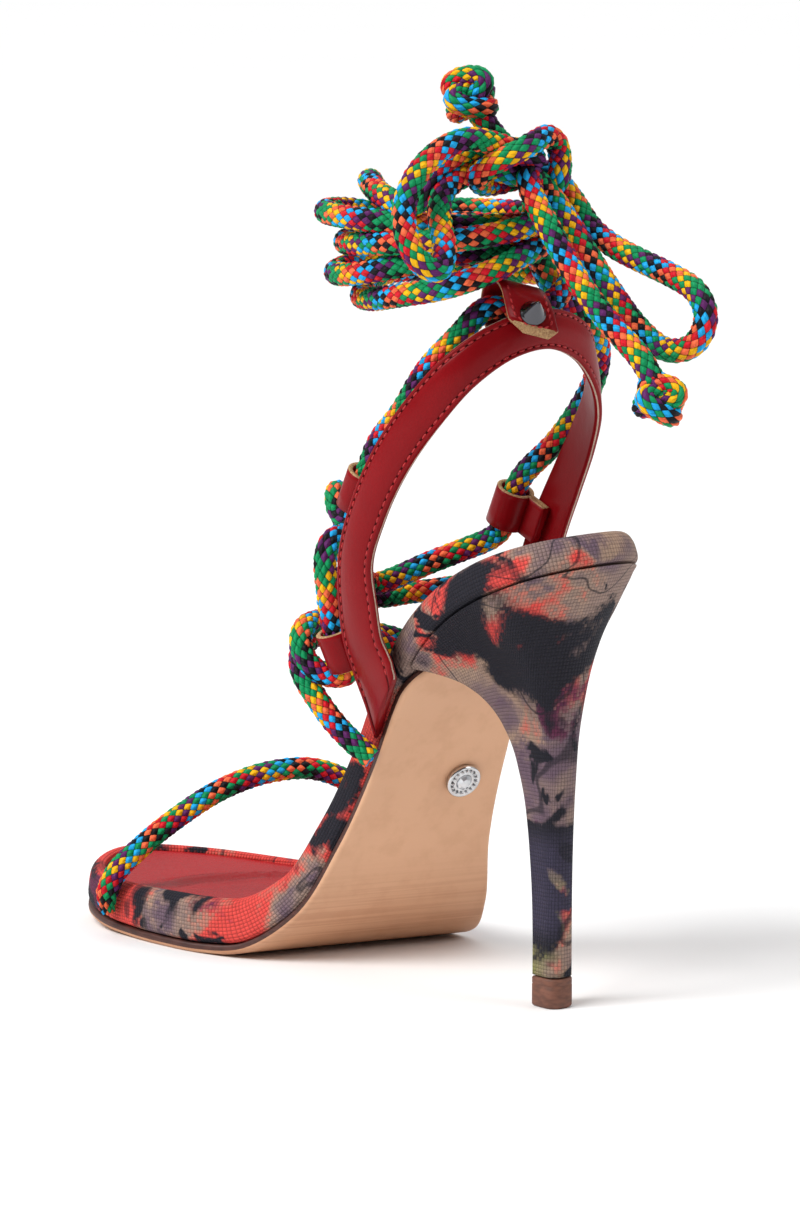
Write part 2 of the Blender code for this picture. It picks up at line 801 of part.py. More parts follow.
def smooth_route(points, pitch):
    """Places every pitch or so along a smooth line through hand-chosen points."""
    run = lengths(points)
    count = max(2, int(round(run[-1] / pitch)))
    return [Vector(along(run, points, run[-1] * i / count)) for i in range(count + 1)]


def rope_curve(name, route, look, collection, ends=(1.0, 1.0), radius=ROPE_RADIUS):
    """Round tube along a route, its end points drawn in by the two factors."""
    curve = bpy.data.curves.new(name, "CURVE")
    curve.dimensions = "3D"
    curve.bevel_depth = radius * MM
    curve.bevel_resolution = 2
    curve.use_fill_caps = True
    spline = curve.splines.new("POLY")
    spline.points.add(len(route) - 1)
    for point, place in zip(spline.points, route):
        point.co = (*(place * MM), 1.0)
    for first, second, factor in ((0, 1, ends[0]), (-1, -2, ends[1])):
        spline.points[first].radius = factor
        spline.points[second].radius = (1 + factor) / 2
    return add_object(name, curve, look, collection)


def rope_mesh(name, route, look, collection):
    """The same tube as a welded mesh, for joining and cutting."""
    curve = rope_curve(name, route, look, collection)
    mesh = bpy.data.meshes.new_from_object(curve.evaluated_get(bpy.context.evaluated_depsgraph_get()))
    bpy.data.objects.remove(curve, do_unlink=True)
    work = bmesh.new()
    work.from_mesh(mesh)
    bmesh.ops.remove_doubles(work, verts=work.verts, dist=1e-6)
    bmesh.ops.recalc_face_normals(work, faces=work.faces)
    work.to_mesh(mesh)
    work.free()
    mesh.name = name
    obj = bpy.data.objects.new(name, mesh)
    collection.objects.link(obj)
    return obj


def combine(obj, other, operation):
    step = obj.modifiers.new(operation.title(), "BOOLEAN")
    step.operation = operation
    step.solver = "EXACT"
    step.object = other


def hide(obj):
    obj.hide_render = True
    obj.display_type = "WIRE"


def lump(name, centre, radii, look, collection):
    """Rounded lump of a knot."""
    mesh = bpy.data.meshes.new(name)
    work = bmesh.new()
    bmesh.ops.create_icosphere(work, subdivisions=3, radius=1.0)
    for vert in work.verts:
        vert.co = (Vector(centre) + Vector([r * c for r, c in zip(radii, vert.co)])) * MM
    work.to_mesh(mesh)
    work.free()
    return add_object(name, mesh, look, collection)


def make_crossings(looks, parts, cutters):
    by_name = {keeper.name: keeper for keeper in KEEPERS}
    route_p = list(STRAND_P) + through(by_name["keeper_lateral_lower"]) + list(STRAND_P_BACK)
    route_p += through(by_name["keeper_medial_upper"])
    route_q = list(STRAND_Q) + through(by_name["keeper_medial_lower"]) + list(STRAND_Q_BACK)
    route_q += through(by_name["keeper_lateral_upper"])
    strand = rope_mesh("lace_crossings", smooth_route(route_p, 5.0), looks["rope"], parts)
    other = rope_mesh("lace_other_strand", smooth_route(route_q, 5.0), looks["rope"], cutters)
    hide(other)
    combine(strand, other, "UNION")
    rope_curve("toe_rope", smooth_route(TOE_ROPE, 8.0), looks["rope"], parts, (0.6, 0.6))


def make_risers(looks, parts):
    by_name = {keeper.name: keeper for keeper in KEEPERS}
    centre, out, side = tab_axes()
    hold = tab_place(-6.3, 5.0)
    route = beyond(by_name["keeper_medial_upper"]) + list(RISER_MEDIAL)
    route += [tuple(hold + side * step) for step in (-7.0, 0.0, 4.5)] + list(RISER_MEDIAL_END)
    rope_curve("lace_riser_medial", smooth_route(route, 9.0), looks["rope"], parts)
    route = beyond(by_name["keeper_lateral_upper"]) + list(RISER_LATERAL)
    rope_curve("lace_riser_lateral", smooth_route(route, 9.0), looks["rope"], parts)


def ease(low, high, at):
    """Share from 0 at low to 1 at high, with soft ends."""
    u = min(max((at - low) / (high - low), 0.0), 1.0)
    return u * u * (3 - 2 * u)


def make_wrap(looks, parts):
    """Outer shape of the lace wound about the ankle, fanned out at the inner front."""
    points = []
    for i in range(WRAP_STEPS):
        turn = 2 * math.pi * i / WRAP_STEPS
        at = math.degrees(turn)
        share = ease(140, 215, at) * (1 - ease(228, 330, at))
        z, tall, thick = (a + (b - a) * share for a, b in zip(WRAP_BUNCH[1:], WRAP_FAN[1:]))
        z -= WRAP_DIP * ease(30, 90, at) * (1 - ease(140, 200, at))
        way = Vector((math.sin(turn), -math.cos(turn), 0.0))
        middle = Vector((WRAP_CENTRE[0] + WRAP_REACH[0] * way.x, WRAP_CENTRE[1] + WRAP_REACH[1] * way.y, z))
        for j in range(12):
            spin = 2 * math.pi * (j + 0.5) / 12
            across = math.copysign(abs(math.cos(spin)) ** 0.6, math.cos(spin)) * thick / 2
            up = math.copysign(abs(math.sin(spin)) ** 0.6, math.sin(spin)) * tall / 2
            points.append(middle + way * across + Vector((0, 0, up)))
    faces = loft_faces(WRAP_STEPS, 12)
    last = (WRAP_STEPS - 1) * 12
    for j in range(12):
        k = (j + 1) % 12
        faces.append((last + j, last + k, k, j))
    return mesh_object("lace_wrap", points, faces, looks["rope"], parts)


def make_bow(looks, parts, cutters):
    """Bow knot, its two loops and its two knotted ends, each clear of the knots it runs into."""
    lump("lace_knot", KNOT_CENTRE, KNOT_RADII, looks["rope"], parts)
    clear = lump("knot_clearance", KNOT_CENTRE, [r + GAP for r in KNOT_RADII], looks["rope"], cutters)
    hide(clear)
    ends = []
    for name, centre, radii in END_KNOTS:
        lump(name, centre, radii, looks["rope"], parts)
        room = lump(name + "_clearance", centre, [r + GAP for r in radii], looks["rope"], cutters)
        hide(room)
        ends.append(room)
    for name, route, end in (
        ("lace_loop_medial", LOOP_MEDIAL, None),
        ("lace_loop_back", LOOP_BACK, None),
        ("lace_end_upper", END_UPPER, ends[0]),
        ("lace_end_lower", END_LOWER, ends[1]),
    ):
        strand = rope_mesh(name, smooth_route(route, 7.0), looks["rope"], parts)
        combine(strand, clear, "DIFFERENCE")
        if end:
            combine(strand, end, "DIFFERENCE")


def main():
    clear_scene()
    parts = new_collection("stiletto_sandal")
    cutters = new_collection("cutters")
    looks = {
        "canvas": material("printed_canvas", (0.16, 0.08, 0.09), 0.8),
        "tan": material("tan_sole_leather", (0.65, 0.40, 0.26), 0.6),
        "red": material("red_leather", (0.36, 0.03, 0.03), 0.4),
        "brown": material("brown_rubber", (0.20, 0.08, 0.05), 0.7),
        "steel": material("polished_steel", (0.75, 0.75, 0.76), 0.2, 1.0),
        "rope": material("braided_rope", (0.10, 0.35, 0.15), 0.8),
    }
    make_outsole(looks, parts)
    make_platform(looks, parts)
    make_insole(looks, parts)
    make_heel(looks, parts)
    make_heel_tip(looks, parts)
    make_sling(looks, parts)
    for keeper in KEEPERS:
        make_keeper(keeper, looks, parts)
    make_tab(looks, parts)
    make_metal(looks, parts)
    make_crossings(looks, parts, cutters)
    make_risers(looks, parts)
    make_wrap(looks, parts)
    make_bow(looks, parts, cutters)


main()
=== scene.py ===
"""Looks of a right stiletto sandal: canvas platform, red leather sling, braided rope lace.

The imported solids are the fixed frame. Every piece is built here on the same tables of sizes, in
millimetres, and made in metres in the frame's axes: the heel tip stands at the origin, the toe
points along +Y and the outer side of the foot is +X.
"""

import sys
import logging
import math
from dataclasses import dataclass, field
from enum import Enum
from typing import Callable, NamedTuple, Optional, Sequence, Union

import bmesh
import bpy
import numpy as np
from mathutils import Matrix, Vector


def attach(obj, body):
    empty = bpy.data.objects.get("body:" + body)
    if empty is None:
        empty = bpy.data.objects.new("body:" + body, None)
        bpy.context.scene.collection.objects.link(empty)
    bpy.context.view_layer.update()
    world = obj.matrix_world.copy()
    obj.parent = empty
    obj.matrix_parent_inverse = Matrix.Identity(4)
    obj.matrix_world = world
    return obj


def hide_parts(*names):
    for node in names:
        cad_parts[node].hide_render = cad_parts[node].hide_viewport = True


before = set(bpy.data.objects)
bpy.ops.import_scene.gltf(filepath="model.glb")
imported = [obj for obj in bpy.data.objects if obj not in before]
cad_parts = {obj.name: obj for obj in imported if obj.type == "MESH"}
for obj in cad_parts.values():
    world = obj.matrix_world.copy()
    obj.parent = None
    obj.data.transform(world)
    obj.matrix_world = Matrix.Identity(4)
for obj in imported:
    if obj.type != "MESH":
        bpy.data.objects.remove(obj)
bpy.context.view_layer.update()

LOG = logging.getLogger("sandal")
MM = 0.001
GAP = 0.4  # millimetres between neighbouring solids
WELD = 2e-6  # metres
LEAST_EDGE = 1e-7  # metres
MIX_COLOURS = slice(6, 8)  # the Mix node's two colour inputs
MIX_RESULT = 2  # its colour output

Material = bpy.types.Material
Node = bpy.types.Node
Object = bpy.types.Object
Socket = bpy.types.NodeSocket
Sockets = bpy.types.bpy_prop_collection
Tree = bpy.types.NodeTree
Colour = tuple[float, float, float]
Point = Union[Vector, Sequence[float]]
Feed = Union[Socket, float, int]


class Slot(Enum):
    """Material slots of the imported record."""

    OUTSOLE = "outsole"
    CANVAS = "canvas"
    RED = "red_leather"
    ROPE = "rope"
    TIP = "heel_tip"
    SILVER = "silver"


class Side(Enum):
    """The two sides of the foot, as the sign of X."""

    MEDIAL = -1
    LATERAL = 1


# Curves through tables


def lengths(points: Sequence[Point]) -> np.ndarray:
    """Running length along a row of points.

    Args:
        points: Places in order.

    Returns:
        The length from the first place to each one.
    """
    steps = np.linalg.norm(np.diff(np.asarray(points, float), axis=0), axis=1)
    return np.concatenate([[0.0], np.cumsum(steps)])


def along(knots: Sequence[float], values: Sequence, at: float) -> np.ndarray:
    """Smooth value between table rows, with a tangent taken from the rows either side.

    Args:
        knots: Rising places of the rows.
        values: One number or one point for each row.
        at: Place asked for, held inside the table.

    Returns:
        The number or the point there.
    """
    knots = np.asarray(knots, float)
    values = np.asarray(values, float)
    slopes = np.gradient(values, knots, axis=0)
    at = min(max(at, knots[0]), knots[-1])
    i = int(np.clip(np.searchsorted(knots, at) - 1, 0, len(knots) - 2))
    step = knots[i + 1] - knots[i]
    u = (at - knots[i]) / step
    start = (1 + 2 * u) * (1 - u) ** 2 * values[i] + u * (1 - u) ** 2 * step * slopes[i]
    end = u * u * (3 - 2 * u) * values[i + 1] + u * u * (u - 1) * step * slopes[i + 1]
    return start + end


def smooth_route(points: Sequence[Point], pitch: float) -> list[Vector]:
    """Places every pitch or so along a smooth line through given points.

    Args:
        points: The route's own points.
        pitch: Spacing in millimetres.

    Returns:
        The places, both ends among them.
    """
    run = lengths(points)
    count = max(2, int(round(run[-1] / pitch)))
    return [Vector(along(run, points, run[-1] * i / count)) for i in range(count + 1)]


def relax(route: Sequence[Vector], rounds: int) -> list[Vector]:
    """Eases kinks out of a route, with its ends held.

    Args:
        route: Places at an even pitch.
        rounds: How often each place moves half the way to the middle of its neighbours.

    Returns:
        The eased places.
    """
    for _ in range(rounds):
        middles = [(a + c) / 2 for a, c in zip(route[:-2], route[2:])]
        eased = [b.lerp(middle, 0.5) for b, middle in zip(route[1:-1], middles)]
        route = [route[0], *eased, route[-1]]
    return list(route)


def ease(low: float, high: float, at: float) -> float:
    """Share from 0 at low to 1 at high, with soft ends."""
    u = min(max((at - low) / (high - low), 0.0), 1.0)
    return u * u * (3 - 2 * u)


# Meshes


def put_in_scene(name: str, data: bpy.types.ID) -> Object:
    """A new object in the scene that holds this data."""
    obj = bpy.data.objects.new(name, data)
    bpy.context.scene.collection.objects.link(obj)
    return obj


@dataclass
class Skin:
    """Points, faces, UVs and finish numbers of one mesh, gathered in millimetres."""

    points: list = field(default_factory=list)
    faces: list = field(default_factory=list)
    uvs: list = field(default_factory=list)
    finishes: list = field(default_factory=list)

    def face(self, corners: Sequence[int], uvs: Sequence, finish: int = 0) -> None:
        """Adds one face."""
        self.faces.append(tuple(corners))
        self.uvs.append([tuple(uv) for uv in uvs])
        self.finishes.append(finish)

    def grid(
        self,
        rows: Sequence[Sequence[Point]],
        wrap: bool = False,
        finish: Optional[Callable[[int, int], int]] = None,
        uv_of: Optional[Callable[[int, int], tuple]] = None,
    ) -> int:
        """Adds a sheet of quads through rows of places.

        Args:
            rows: Rows of equally many places.
            wrap: Whether each row closes on itself.
            finish: Finish number of the face at (row, column).
            uv_of: UV in millimetres at (row, column); by default lengths on the sheet.

        Returns:
            Number of the sheet's first point.
        """
        base = len(self.points)
        array = np.array([[tuple(p) for p in row] for row in rows], float)
        count, size = array.shape[:2]
        self.points += [tuple(p) for p in array.reshape(-1, 3)]
        if uv_of is None:
            closed = np.concatenate([array, array[:, :1]], axis=1)
            across = np.zeros((count, size + 1))
            across[:, 1:] = np.cumsum(np.linalg.norm(np.diff(closed, axis=1), axis=2), axis=1)
            down = np.zeros((count, size + 1))
            down[1:] = np.cumsum(np.linalg.norm(np.diff(closed, axis=0), axis=2), axis=0)
            middle = across[count // 2]

            def uv_of(i: int, j: int) -> tuple:
                """Length across the middle row, and length down the column."""
                return middle[j], down[i, j]

        for i in range(count - 1):
            for j in range(size if wrap else size - 1):
                k = (j + 1) % size
                corners = [base + i * size + j, base + i * size + k]
                corners += [base + (i + 1) * size + k, base + (i + 1) * size + j]
                uvs = [uv_of(i, j), uv_of(i, j + 1), uv_of(i + 1, j + 1), uv_of(i + 1, j)]
                self.face(corners, uvs, finish(i, j) if finish else 0)
        return base

    def cap(self, corners: Sequence[int], finish: int = 0) -> None:
        """Closes a ring of points with a fan about its middle."""
        places = np.array([self.points[c] for c in corners])
        middle = len(self.points)
        self.points.append(tuple(places.mean(axis=0)))
        for a, b in zip(corners, list(corners[1:]) + [corners[0]]):
            uvs = [(self.points[c][0], self.points[c][1]) for c in (a, b, middle)]
            self.face((a, b, middle), uvs, finish)

    def tube(self, rings: Sequence[Sequence[Point]], ends: int = 0, **sheet: Callable) -> None:
        """Adds a sheet of closed rings, with a fan of the ends' finish over its first and last."""
        base, size = self.grid(rings, wrap=True, **sheet), len(rings[0])
        for first in (base, base + (len(rings) - 1) * size):
            self.cap(range(first, first + size), ends)

    def build(self, name: str, looks: Sequence[Material]) -> Object:
        """Makes the object, welded, facing out and smooth.

        Args:
            name: Name of the piece.
            looks: One material for each finish number.

        Returns:
            The object, in the scene.
        """
        mesh = bpy.data.meshes.new(name)
        mesh.from_pydata([Vector(p) * MM for p in self.points], [], self.faces)
        layer = mesh.uv_layers.new(name="UVMap")
        flat = [uv for corner in self.uvs for uv in corner]
        for loop, uv in zip(layer.data, flat):
            loop.uv = (uv[0] * MM, uv[1] * MM)
        for polygon, finish in zip(mesh.polygons, self.finishes):
            polygon.material_index = finish
            polygon.use_smooth = True
        work = bmesh.new()
        work.from_mesh(mesh)
        bmesh.ops.remove_doubles(work, verts=work.verts, dist=WELD)
        bmesh.ops.dissolve_degenerate(work, edges=work.edges, dist=LEAST_EDGE)
        bmesh.ops.recalc_face_normals(work, faces=work.faces)
        work.to_mesh(mesh)
        work.free()
        for look in looks:
            mesh.materials.append(look)
        return put_in_scene(name, mesh)


def show(obj: Object, slot: Slot, *nodes: str) -> Object:
    """Hands a finished piece to the frame.

    Args:
        obj: The piece.
        slot: The record's slot that its finish belongs to; not used.
        *nodes: Names of the solids that it stands for.

    Returns:
        The piece.
    """
    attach(obj, "root")
    if nodes:
        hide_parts(*nodes)
    LOG.info("%s: %d faces, for %s", obj.name, len(obj.data.polygons), nodes or "no solid")
    return obj


# Node trees


@dataclass
class Bench:
    """Lays out nodes in one shader or geometry tree."""

    tree: Tree

    def node(self, kind: str, **settings: object) -> Node:
        """A new node with its settings."""
        made = self.tree.nodes.new(kind)
        for key, value in settings.items():
            setattr(made, key, value)
        return made

    def feed(self, socket: Socket, value: object) -> None:
        """Links a socket, or sets it to a plain value."""
        if isinstance(value, Socket):
            self.tree.links.new(value, socket)
        else:
            socket.default_value = value

    def fed(self, made: Node, **feeds: object) -> Node:
        """The node, with its named inputs linked or set."""
        for name, value in feeds.items():
            self.feed(made.inputs[name], value)
        return made

    def maths(self, operation: str, *values: Feed) -> Socket:
        """Result of one Math node."""
        made = self.node("ShaderNodeMath", operation=operation)
        for socket, value in zip(made.inputs, values):
            self.feed(socket, value)
        return made.outputs[0]

    def times(self, a: Feed, b: Feed) -> Socket:
        """Product of two numbers."""
        return self.maths("MULTIPLY", a, b)

    def plus(self, a: Feed, b: Feed) -> Socket:
        """Sum of two numbers."""
        return self.maths("ADD", a, b)

    def minus(self, a: Feed, b: Feed) -> Socket:
        """Difference of two numbers."""
        return self.maths("SUBTRACT", a, b)

    def scaled(self, value: Feed, factor: Feed, shift: Feed) -> Socket:
        """Number times a factor, and shifted."""
        return self.maths("MULTIPLY_ADD", value, factor, shift)

    def blend(self, share: Feed, low: Feed, high: Feed) -> Socket:
        """Number between low and high."""
        return self.scaled(share, self.minus(high, low), low)

    def step(self, value: Feed, low: float, high: float) -> Socket:
        """Soft step from 0 at low to 1 at high."""
        made = self.node("ShaderNodeMapRange", interpolation_type="SMOOTHSTEP")
        return self.fed(made, **{"Value": value, "From Min": low, "From Max": high}).outputs[0]

    def mix(self, share: Feed, low: object, high: object, kind: str = "MIX") -> Socket:
        """Colour between two colours."""
        made = self.node("ShaderNodeMix", data_type="RGBA", blend_type=kind)
        self.feed(made.inputs["Factor"], share)
        for socket, value in zip(made.inputs[MIX_COLOURS], (low, high)):
            self.feed(socket, (*value, 1.0) if isinstance(value, tuple) else value)
        return made.outputs[MIX_RESULT]

    def parts(self, vector: Socket) -> list:
        """The three numbers of a vector."""
        made = self.node("ShaderNodeSeparateXYZ")
        self.feed(made.inputs[0], vector)
        return list(made.outputs)

    def vector(self, *parts: Feed) -> Socket:
        """A vector from three numbers."""
        made = self.node("ShaderNodeCombineXYZ")
        for socket, value in zip(made.inputs, parts):
            self.feed(socket, value)
        return made.outputs[0]

    def stretch(self, vector: Socket, scale: tuple, shift: tuple = (0, 0, 0)) -> Socket:
        """A vector scaled and shifted."""
        made = self.node("ShaderNodeMapping")
        return self.fed(made, Vector=vector, Scale=scale, Location=shift).outputs[0]

    def noise(
        self,
        vector: Socket,
        scale: float,
        detail: float = 2.0,
        rough: float = 0.5,
        bend: float = 0.0,
    ) -> Socket:
        """Cloudy value from 0 to 1.

        Args:
            vector: Place in metres.
            scale: Clouds per metre.
            detail: Finer layers.
            rough: Weight of the finer layers.
            bend: Distortion.

        Returns:
            The value's socket.
        """
        made = self.node("ShaderNodeTexNoise")
        self.fed(made, Vector=vector, Scale=scale, Detail=detail)
        return self.fed(made, Roughness=rough, Distortion=bend).outputs[0]

    def dice(self, *parts: Feed) -> Socket:
        """Fixed random value for each vector."""
        made = self.node("ShaderNodeTexWhiteNoise", noise_dimensions="3D")
        self.feed(made.inputs["Vector"], self.vector(*parts))
        return made.outputs["Value"]

    def chart(self, index: Feed, colours: Sequence[Colour]) -> Socket:
        """Colour of a whole number in a charted row of colours that repeats."""
        count = len(colours)
        share = self.maths("DIVIDE", self.maths("FLOORED_MODULO", index, count), count)
        made = self.node("ShaderNodeValToRGB")
        self.feed(made.inputs[0], self.plus(share, 0.25 / count))
        made.color_ramp.interpolation = "CONSTANT"
        elements = made.color_ramp.elements
        while len(elements) < count:
            elements.new(1.0)
        for i, colour in enumerate(colours):
            elements[i].position = i / count
            elements[i].color = (*colour, 1.0)
        return made.outputs[0]

    def bump(
        self, height: Socket, depth: float, strength: float = 1.0, under: Optional[Socket] = None
    ) -> Socket:
        """Normal of a relief of that depth in metres."""
        made = self.node("ShaderNodeBump")
        self.fed(made, Strength=strength, Distance=depth, Height=height)
        if under is not None:
            self.feed(made.inputs["Normal"], under)
        return made.outputs[0]


class Weave(NamedTuple):
    """Sockets of an over-and-under weave."""

    height: Socket
    odd: Socket
    first: Socket
    second: Socket
    across: Socket
    run: Socket


def interlace(bench: Bench, a: Feed, b: Feed) -> Weave:
    """One-over-one weave of two families of yarns.

    Args:
        bench: Tree to lay the nodes in.
        a: Count across the first family.
        b: Count across the second family.

    Returns:
        Height from 0 to 1, which family shows, the yarns' numbers and the place on the yarn.
    """
    first, second = bench.maths("FLOOR", a), bench.maths("FLOOR", b)
    part_a, part_b = bench.minus(a, first), bench.minus(b, second)
    odd = bench.maths("FLOORED_MODULO", bench.plus(first, second), 2.0)
    across = bench.blend(odd, part_a, part_b)
    run = bench.blend(odd, part_b, part_a)
    centred = bench.scaled(across, 2.0, -1.0)
    ridge = bench.minus(1.0, bench.times(centred, centred))
    hump = bench.maths("SINE", bench.times(run, math.pi))
    ridge, hump = bench.maths("POWER", ridge, 0.6), bench.maths("POWER", hump, 0.7)
    height = bench.times(ridge, hump)
    return Weave(height, odd, first, second, across, run)


def new_material(name: str) -> tuple[Material, Bench, Node]:
    """A material, its bench and its shader."""
    made = bpy.data.materials.new(name)
    made.use_nodes = True
    return made, Bench(made.node_tree), made.node_tree.nodes["Principled BSDF"]


def own_place(bench: Bench) -> Socket:
    """Object coordinates, in metres in the frame's axes."""
    return bench.node("ShaderNodeTexCoord").outputs["Object"]


def own_uv(bench: Bench) -> Socket:
    """The piece's UV map, in metres on its surface."""
    return bench.node("ShaderNodeUVMap", uv_map="UVMap").outputs[0]


# Finishes


@dataclass(frozen=True)
class Finish:
    """A finish that lays its own nodes before a shader."""

    name: str

    def lay_nodes(self, bench: Bench, shader: Node) -> None:
        """Lays the nodes; a plain finish has none."""

    def material(self) -> Material:
        """The finish as a material."""
        made, bench, shader = new_material(self.name)
        self.lay_nodes(bench, shader)
        return made


def dimmed(colour: Colour, share: float) -> Colour:
    """A darker shade of a colour."""
    return tuple(share * part for part in colour)


@dataclass(frozen=True)
class LeatherFinish(Finish):
    """Smooth dyed leather with a fine grain, darker in its pores, under a thin gloss."""

    lit: Colour = (0.255, 0.004, 0.007)
    deep: Colour = (0.105, 0.002, 0.004)
    rough: float = 0.33
    coat: float = 0.07
    gloss: float = 0.09
    grain: float = 0.00005

    def lay_nodes(self, bench: Bench, shader: Node) -> None:
        """Lays the nodes of the finish."""
        place = own_place(bench)
        cloud = bench.noise(place, 55.0, 3.0)
        pores = bench.noise(place, 2600.0, 2.0, 0.6)
        crease = bench.noise(bench.stretch(place, (1.0, 1.0, 0.35)), 420.0, 3.0, 0.6, 0.6)
        tone = bench.mix(bench.step(cloud, 0.25, 0.75), self.deep, self.lit)
        tone = bench.mix(bench.step(pores, 0.62, 0.3), tone, self.deep)
        bench.feed(shader.inputs["Base Color"], bench.mix(0.65, tone, self.lit))
        rough = bench.blend(crease, self.rough - 0.08, self.rough + 0.12)
        bench.feed(shader.inputs["Roughness"], rough)
        shader.inputs["Specular IOR Level"].default_value = self.gloss
        shader.inputs["Coat Weight"].default_value = self.coat
        shader.inputs["Coat Roughness"].default_value = 0.15
        normal = bench.bump(pores, self.grain, 0.55)
        bench.feed(shader.inputs["Normal"], bench.bump(crease, self.grain * 3, 0.35, normal))


@dataclass(frozen=True)
class RawEdgeFinish(Finish):
    """Cut edge of leather: matt fibres, paler on top and darker in the cut."""

    pale: Colour = (0.56, 0.36, 0.17)
    dark: Colour = (0.26, 0.12, 0.05)

    def lay_nodes(self, bench: Bench, shader: Node) -> None:
        """Lays the nodes of the finish."""
        place = own_place(bench)
        fibre = bench.noise(place, 2200.0, 3.0, 0.65)
        cloud = bench.noise(place, 320.0, 2.0)
        share = bench.times(bench.step(fibre, 0.3, 0.62), bench.step(cloud, 0.2, 0.6))
        bench.feed(shader.inputs["Base Color"], bench.mix(share, self.dark, self.pale))
        shader.inputs["Roughness"].default_value = 0.85
        bench.feed(shader.inputs["Normal"], bench.bump(fibre, 0.00018))


@dataclass(frozen=True)
class CanvasFinish(Finish):
    """Coarse plain-weave canvas with a soft blotted print that bleeds along the threads, and
    painted shade in the gaps between the threads.
    """

    name: str = "printed_canvas"
    thread: float = 0.00102
    ink: Colour = (0.013, 0.012, 0.020)
    coral: Colour = (0.740, 0.070, 0.058)
    taupe: Colour = (0.300, 0.205, 0.172)
    mauve: Colour = (0.150, 0.095, 0.130)
    sand: Colour = (0.400, 0.265, 0.190)
    olive: Colour = (0.230, 0.235, 0.075)
    plum: Colour = (0.120, 0.020, 0.060)
    navy: Colour = (0.042, 0.036, 0.066)

    def lay_nodes(self, bench: Bench, shader: Node) -> None:
        """Lays the nodes of the finish."""
        place = own_place(bench)
        u, v, _ = bench.parts(own_uv(bench))
        count = 1.0 / self.thread
        weave = interlace(bench, bench.times(u, count), bench.times(v, count))
        jitter = bench.dice(weave.first, weave.second, 0.0)
        loose = bench.scaled(jitter, 0.022, -0.011)
        _, ahead, height = bench.parts(place)
        behind = bench.step(ahead, 0.040, 0.015)
        stem = bench.times(behind, bench.step(height, 0.085, 0.060))
        warm = bench.scaled(bench.step(ahead, 0.05, 0.10), 0.080, bench.times(stem, -0.13))
        low_band = bench.times(bench.step(height, 0.050, 0.041), bench.step(height, 0.016, 0.024))
        mid_band = bench.times(bench.step(height, 0.044, 0.054), -0.06)
        cold = bench.times(stem, bench.scaled(low_band, 0.10, mid_band))

        def blot(
            scale: float,
            shift: tuple,
            low: float,
            high: float,
            bend: float,
            lean: Optional[Socket] = None,
        ) -> Socket:
            """Share of one ink, its edge broken up along the threads; lean makes it likelier."""
            cloud = bench.noise(bench.stretch(place, (1, 1, 1), shift), scale, 3.0, 0.55, bend)
            if lean is not None:
                cloud = bench.plus(cloud, lean)
            return bench.step(bench.plus(cloud, loose), low, high)

        ground = bench.mix(blot(36, (0.7, 0.2, 0.1), 0.42, 0.62, 0.6), self.taupe, self.mauve)
        ground = bench.mix(blot(50, (0.1, 0.9, 0.3), 0.52, 0.68, 0.5), ground, self.sand)
        low_heel = blot(48, (0.3, 0.3, 0.0), 0.34, 0.54, 0.4)
        low_heel = bench.times(bench.step(height, 0.044, 0.020), low_heel)
        low_heel = bench.times(low_heel, behind)
        ground = bench.mix(low_heel, ground, self.olive)
        ground = bench.mix(blot(21, (0.42, 0.35, 0.80), 0.47, 0.53, 0.7, warm), ground, self.sand)
        ground = bench.mix(blot(21, (0.42, 0.35, 0.80), 0.495, 0.55, 0.7, warm), ground, self.coral)
        ground = bench.mix(blot(40, (0.2, 0.6, 0.5), 0.61, 0.67, 0.6), ground, self.plum)
        dark = bench.mix(bench.times(stem, low_band), self.ink, self.navy)
        ground = bench.mix(blot(25, (0.13, 0.58, 0.27), 0.52, 0.57, 0.8, cold), ground, dark)
        ground = bench.mix(blot(75, (0.5, 0.1, 0.9), 0.60, 0.65, 0.6), ground, self.ink)
        vein = bench.noise(bench.stretch(place, (1, 1, 1), (0.9, 0.2, 0.6)), 26.0, 2.0, 0.5, 0.6)
        thin = bench.step(bench.maths("ABSOLUTE", bench.minus(vein, 0.47)), 0.010, 0.003)
        ground = bench.mix(bench.times(thin, 0.7), ground, self.ink)
        pepper = bench.scaled(jitter, 0.16, 0.92)
        # Painted shade: the weave's height darkens the colour in the gaps between the threads,
        # times a random tone for each thread.
        yarn_tone_and_painted_gap_shade = bench.times(pepper, bench.scaled(bench.step(weave.height, 0.0, 0.62), 0.44, 0.58))
        tone = bench.mix(1.0, ground, bench.vector(yarn_tone_and_painted_gap_shade, yarn_tone_and_painted_gap_shade, yarn_tone_and_painted_gap_shade), "MULTIPLY")
        bench.feed(shader.inputs["Base Color"], tone)
        shader.inputs["Roughness"].default_value = 0.75
        shader.inputs["Specular IOR Level"].default_value = 0.25
        bench.feed(shader.inputs["Normal"], bench.bump(weave.height, 0.00026, 1.0))


GREEN: Colour = (0.004, 0.275, 0.095)
RED: Colour = (0.620, 0.010, 0.022)
ORANGE: Colour = (0.880, 0.150, 0.058)
YELLOW: Colour = (0.900, 0.470, 0.008)
BLUE: Colour = (0.014, 0.390, 0.800)
PURPLE: Colour = (0.110, 0.018, 0.118)
BLACK: Colour = (0.009, 0.009, 0.012)


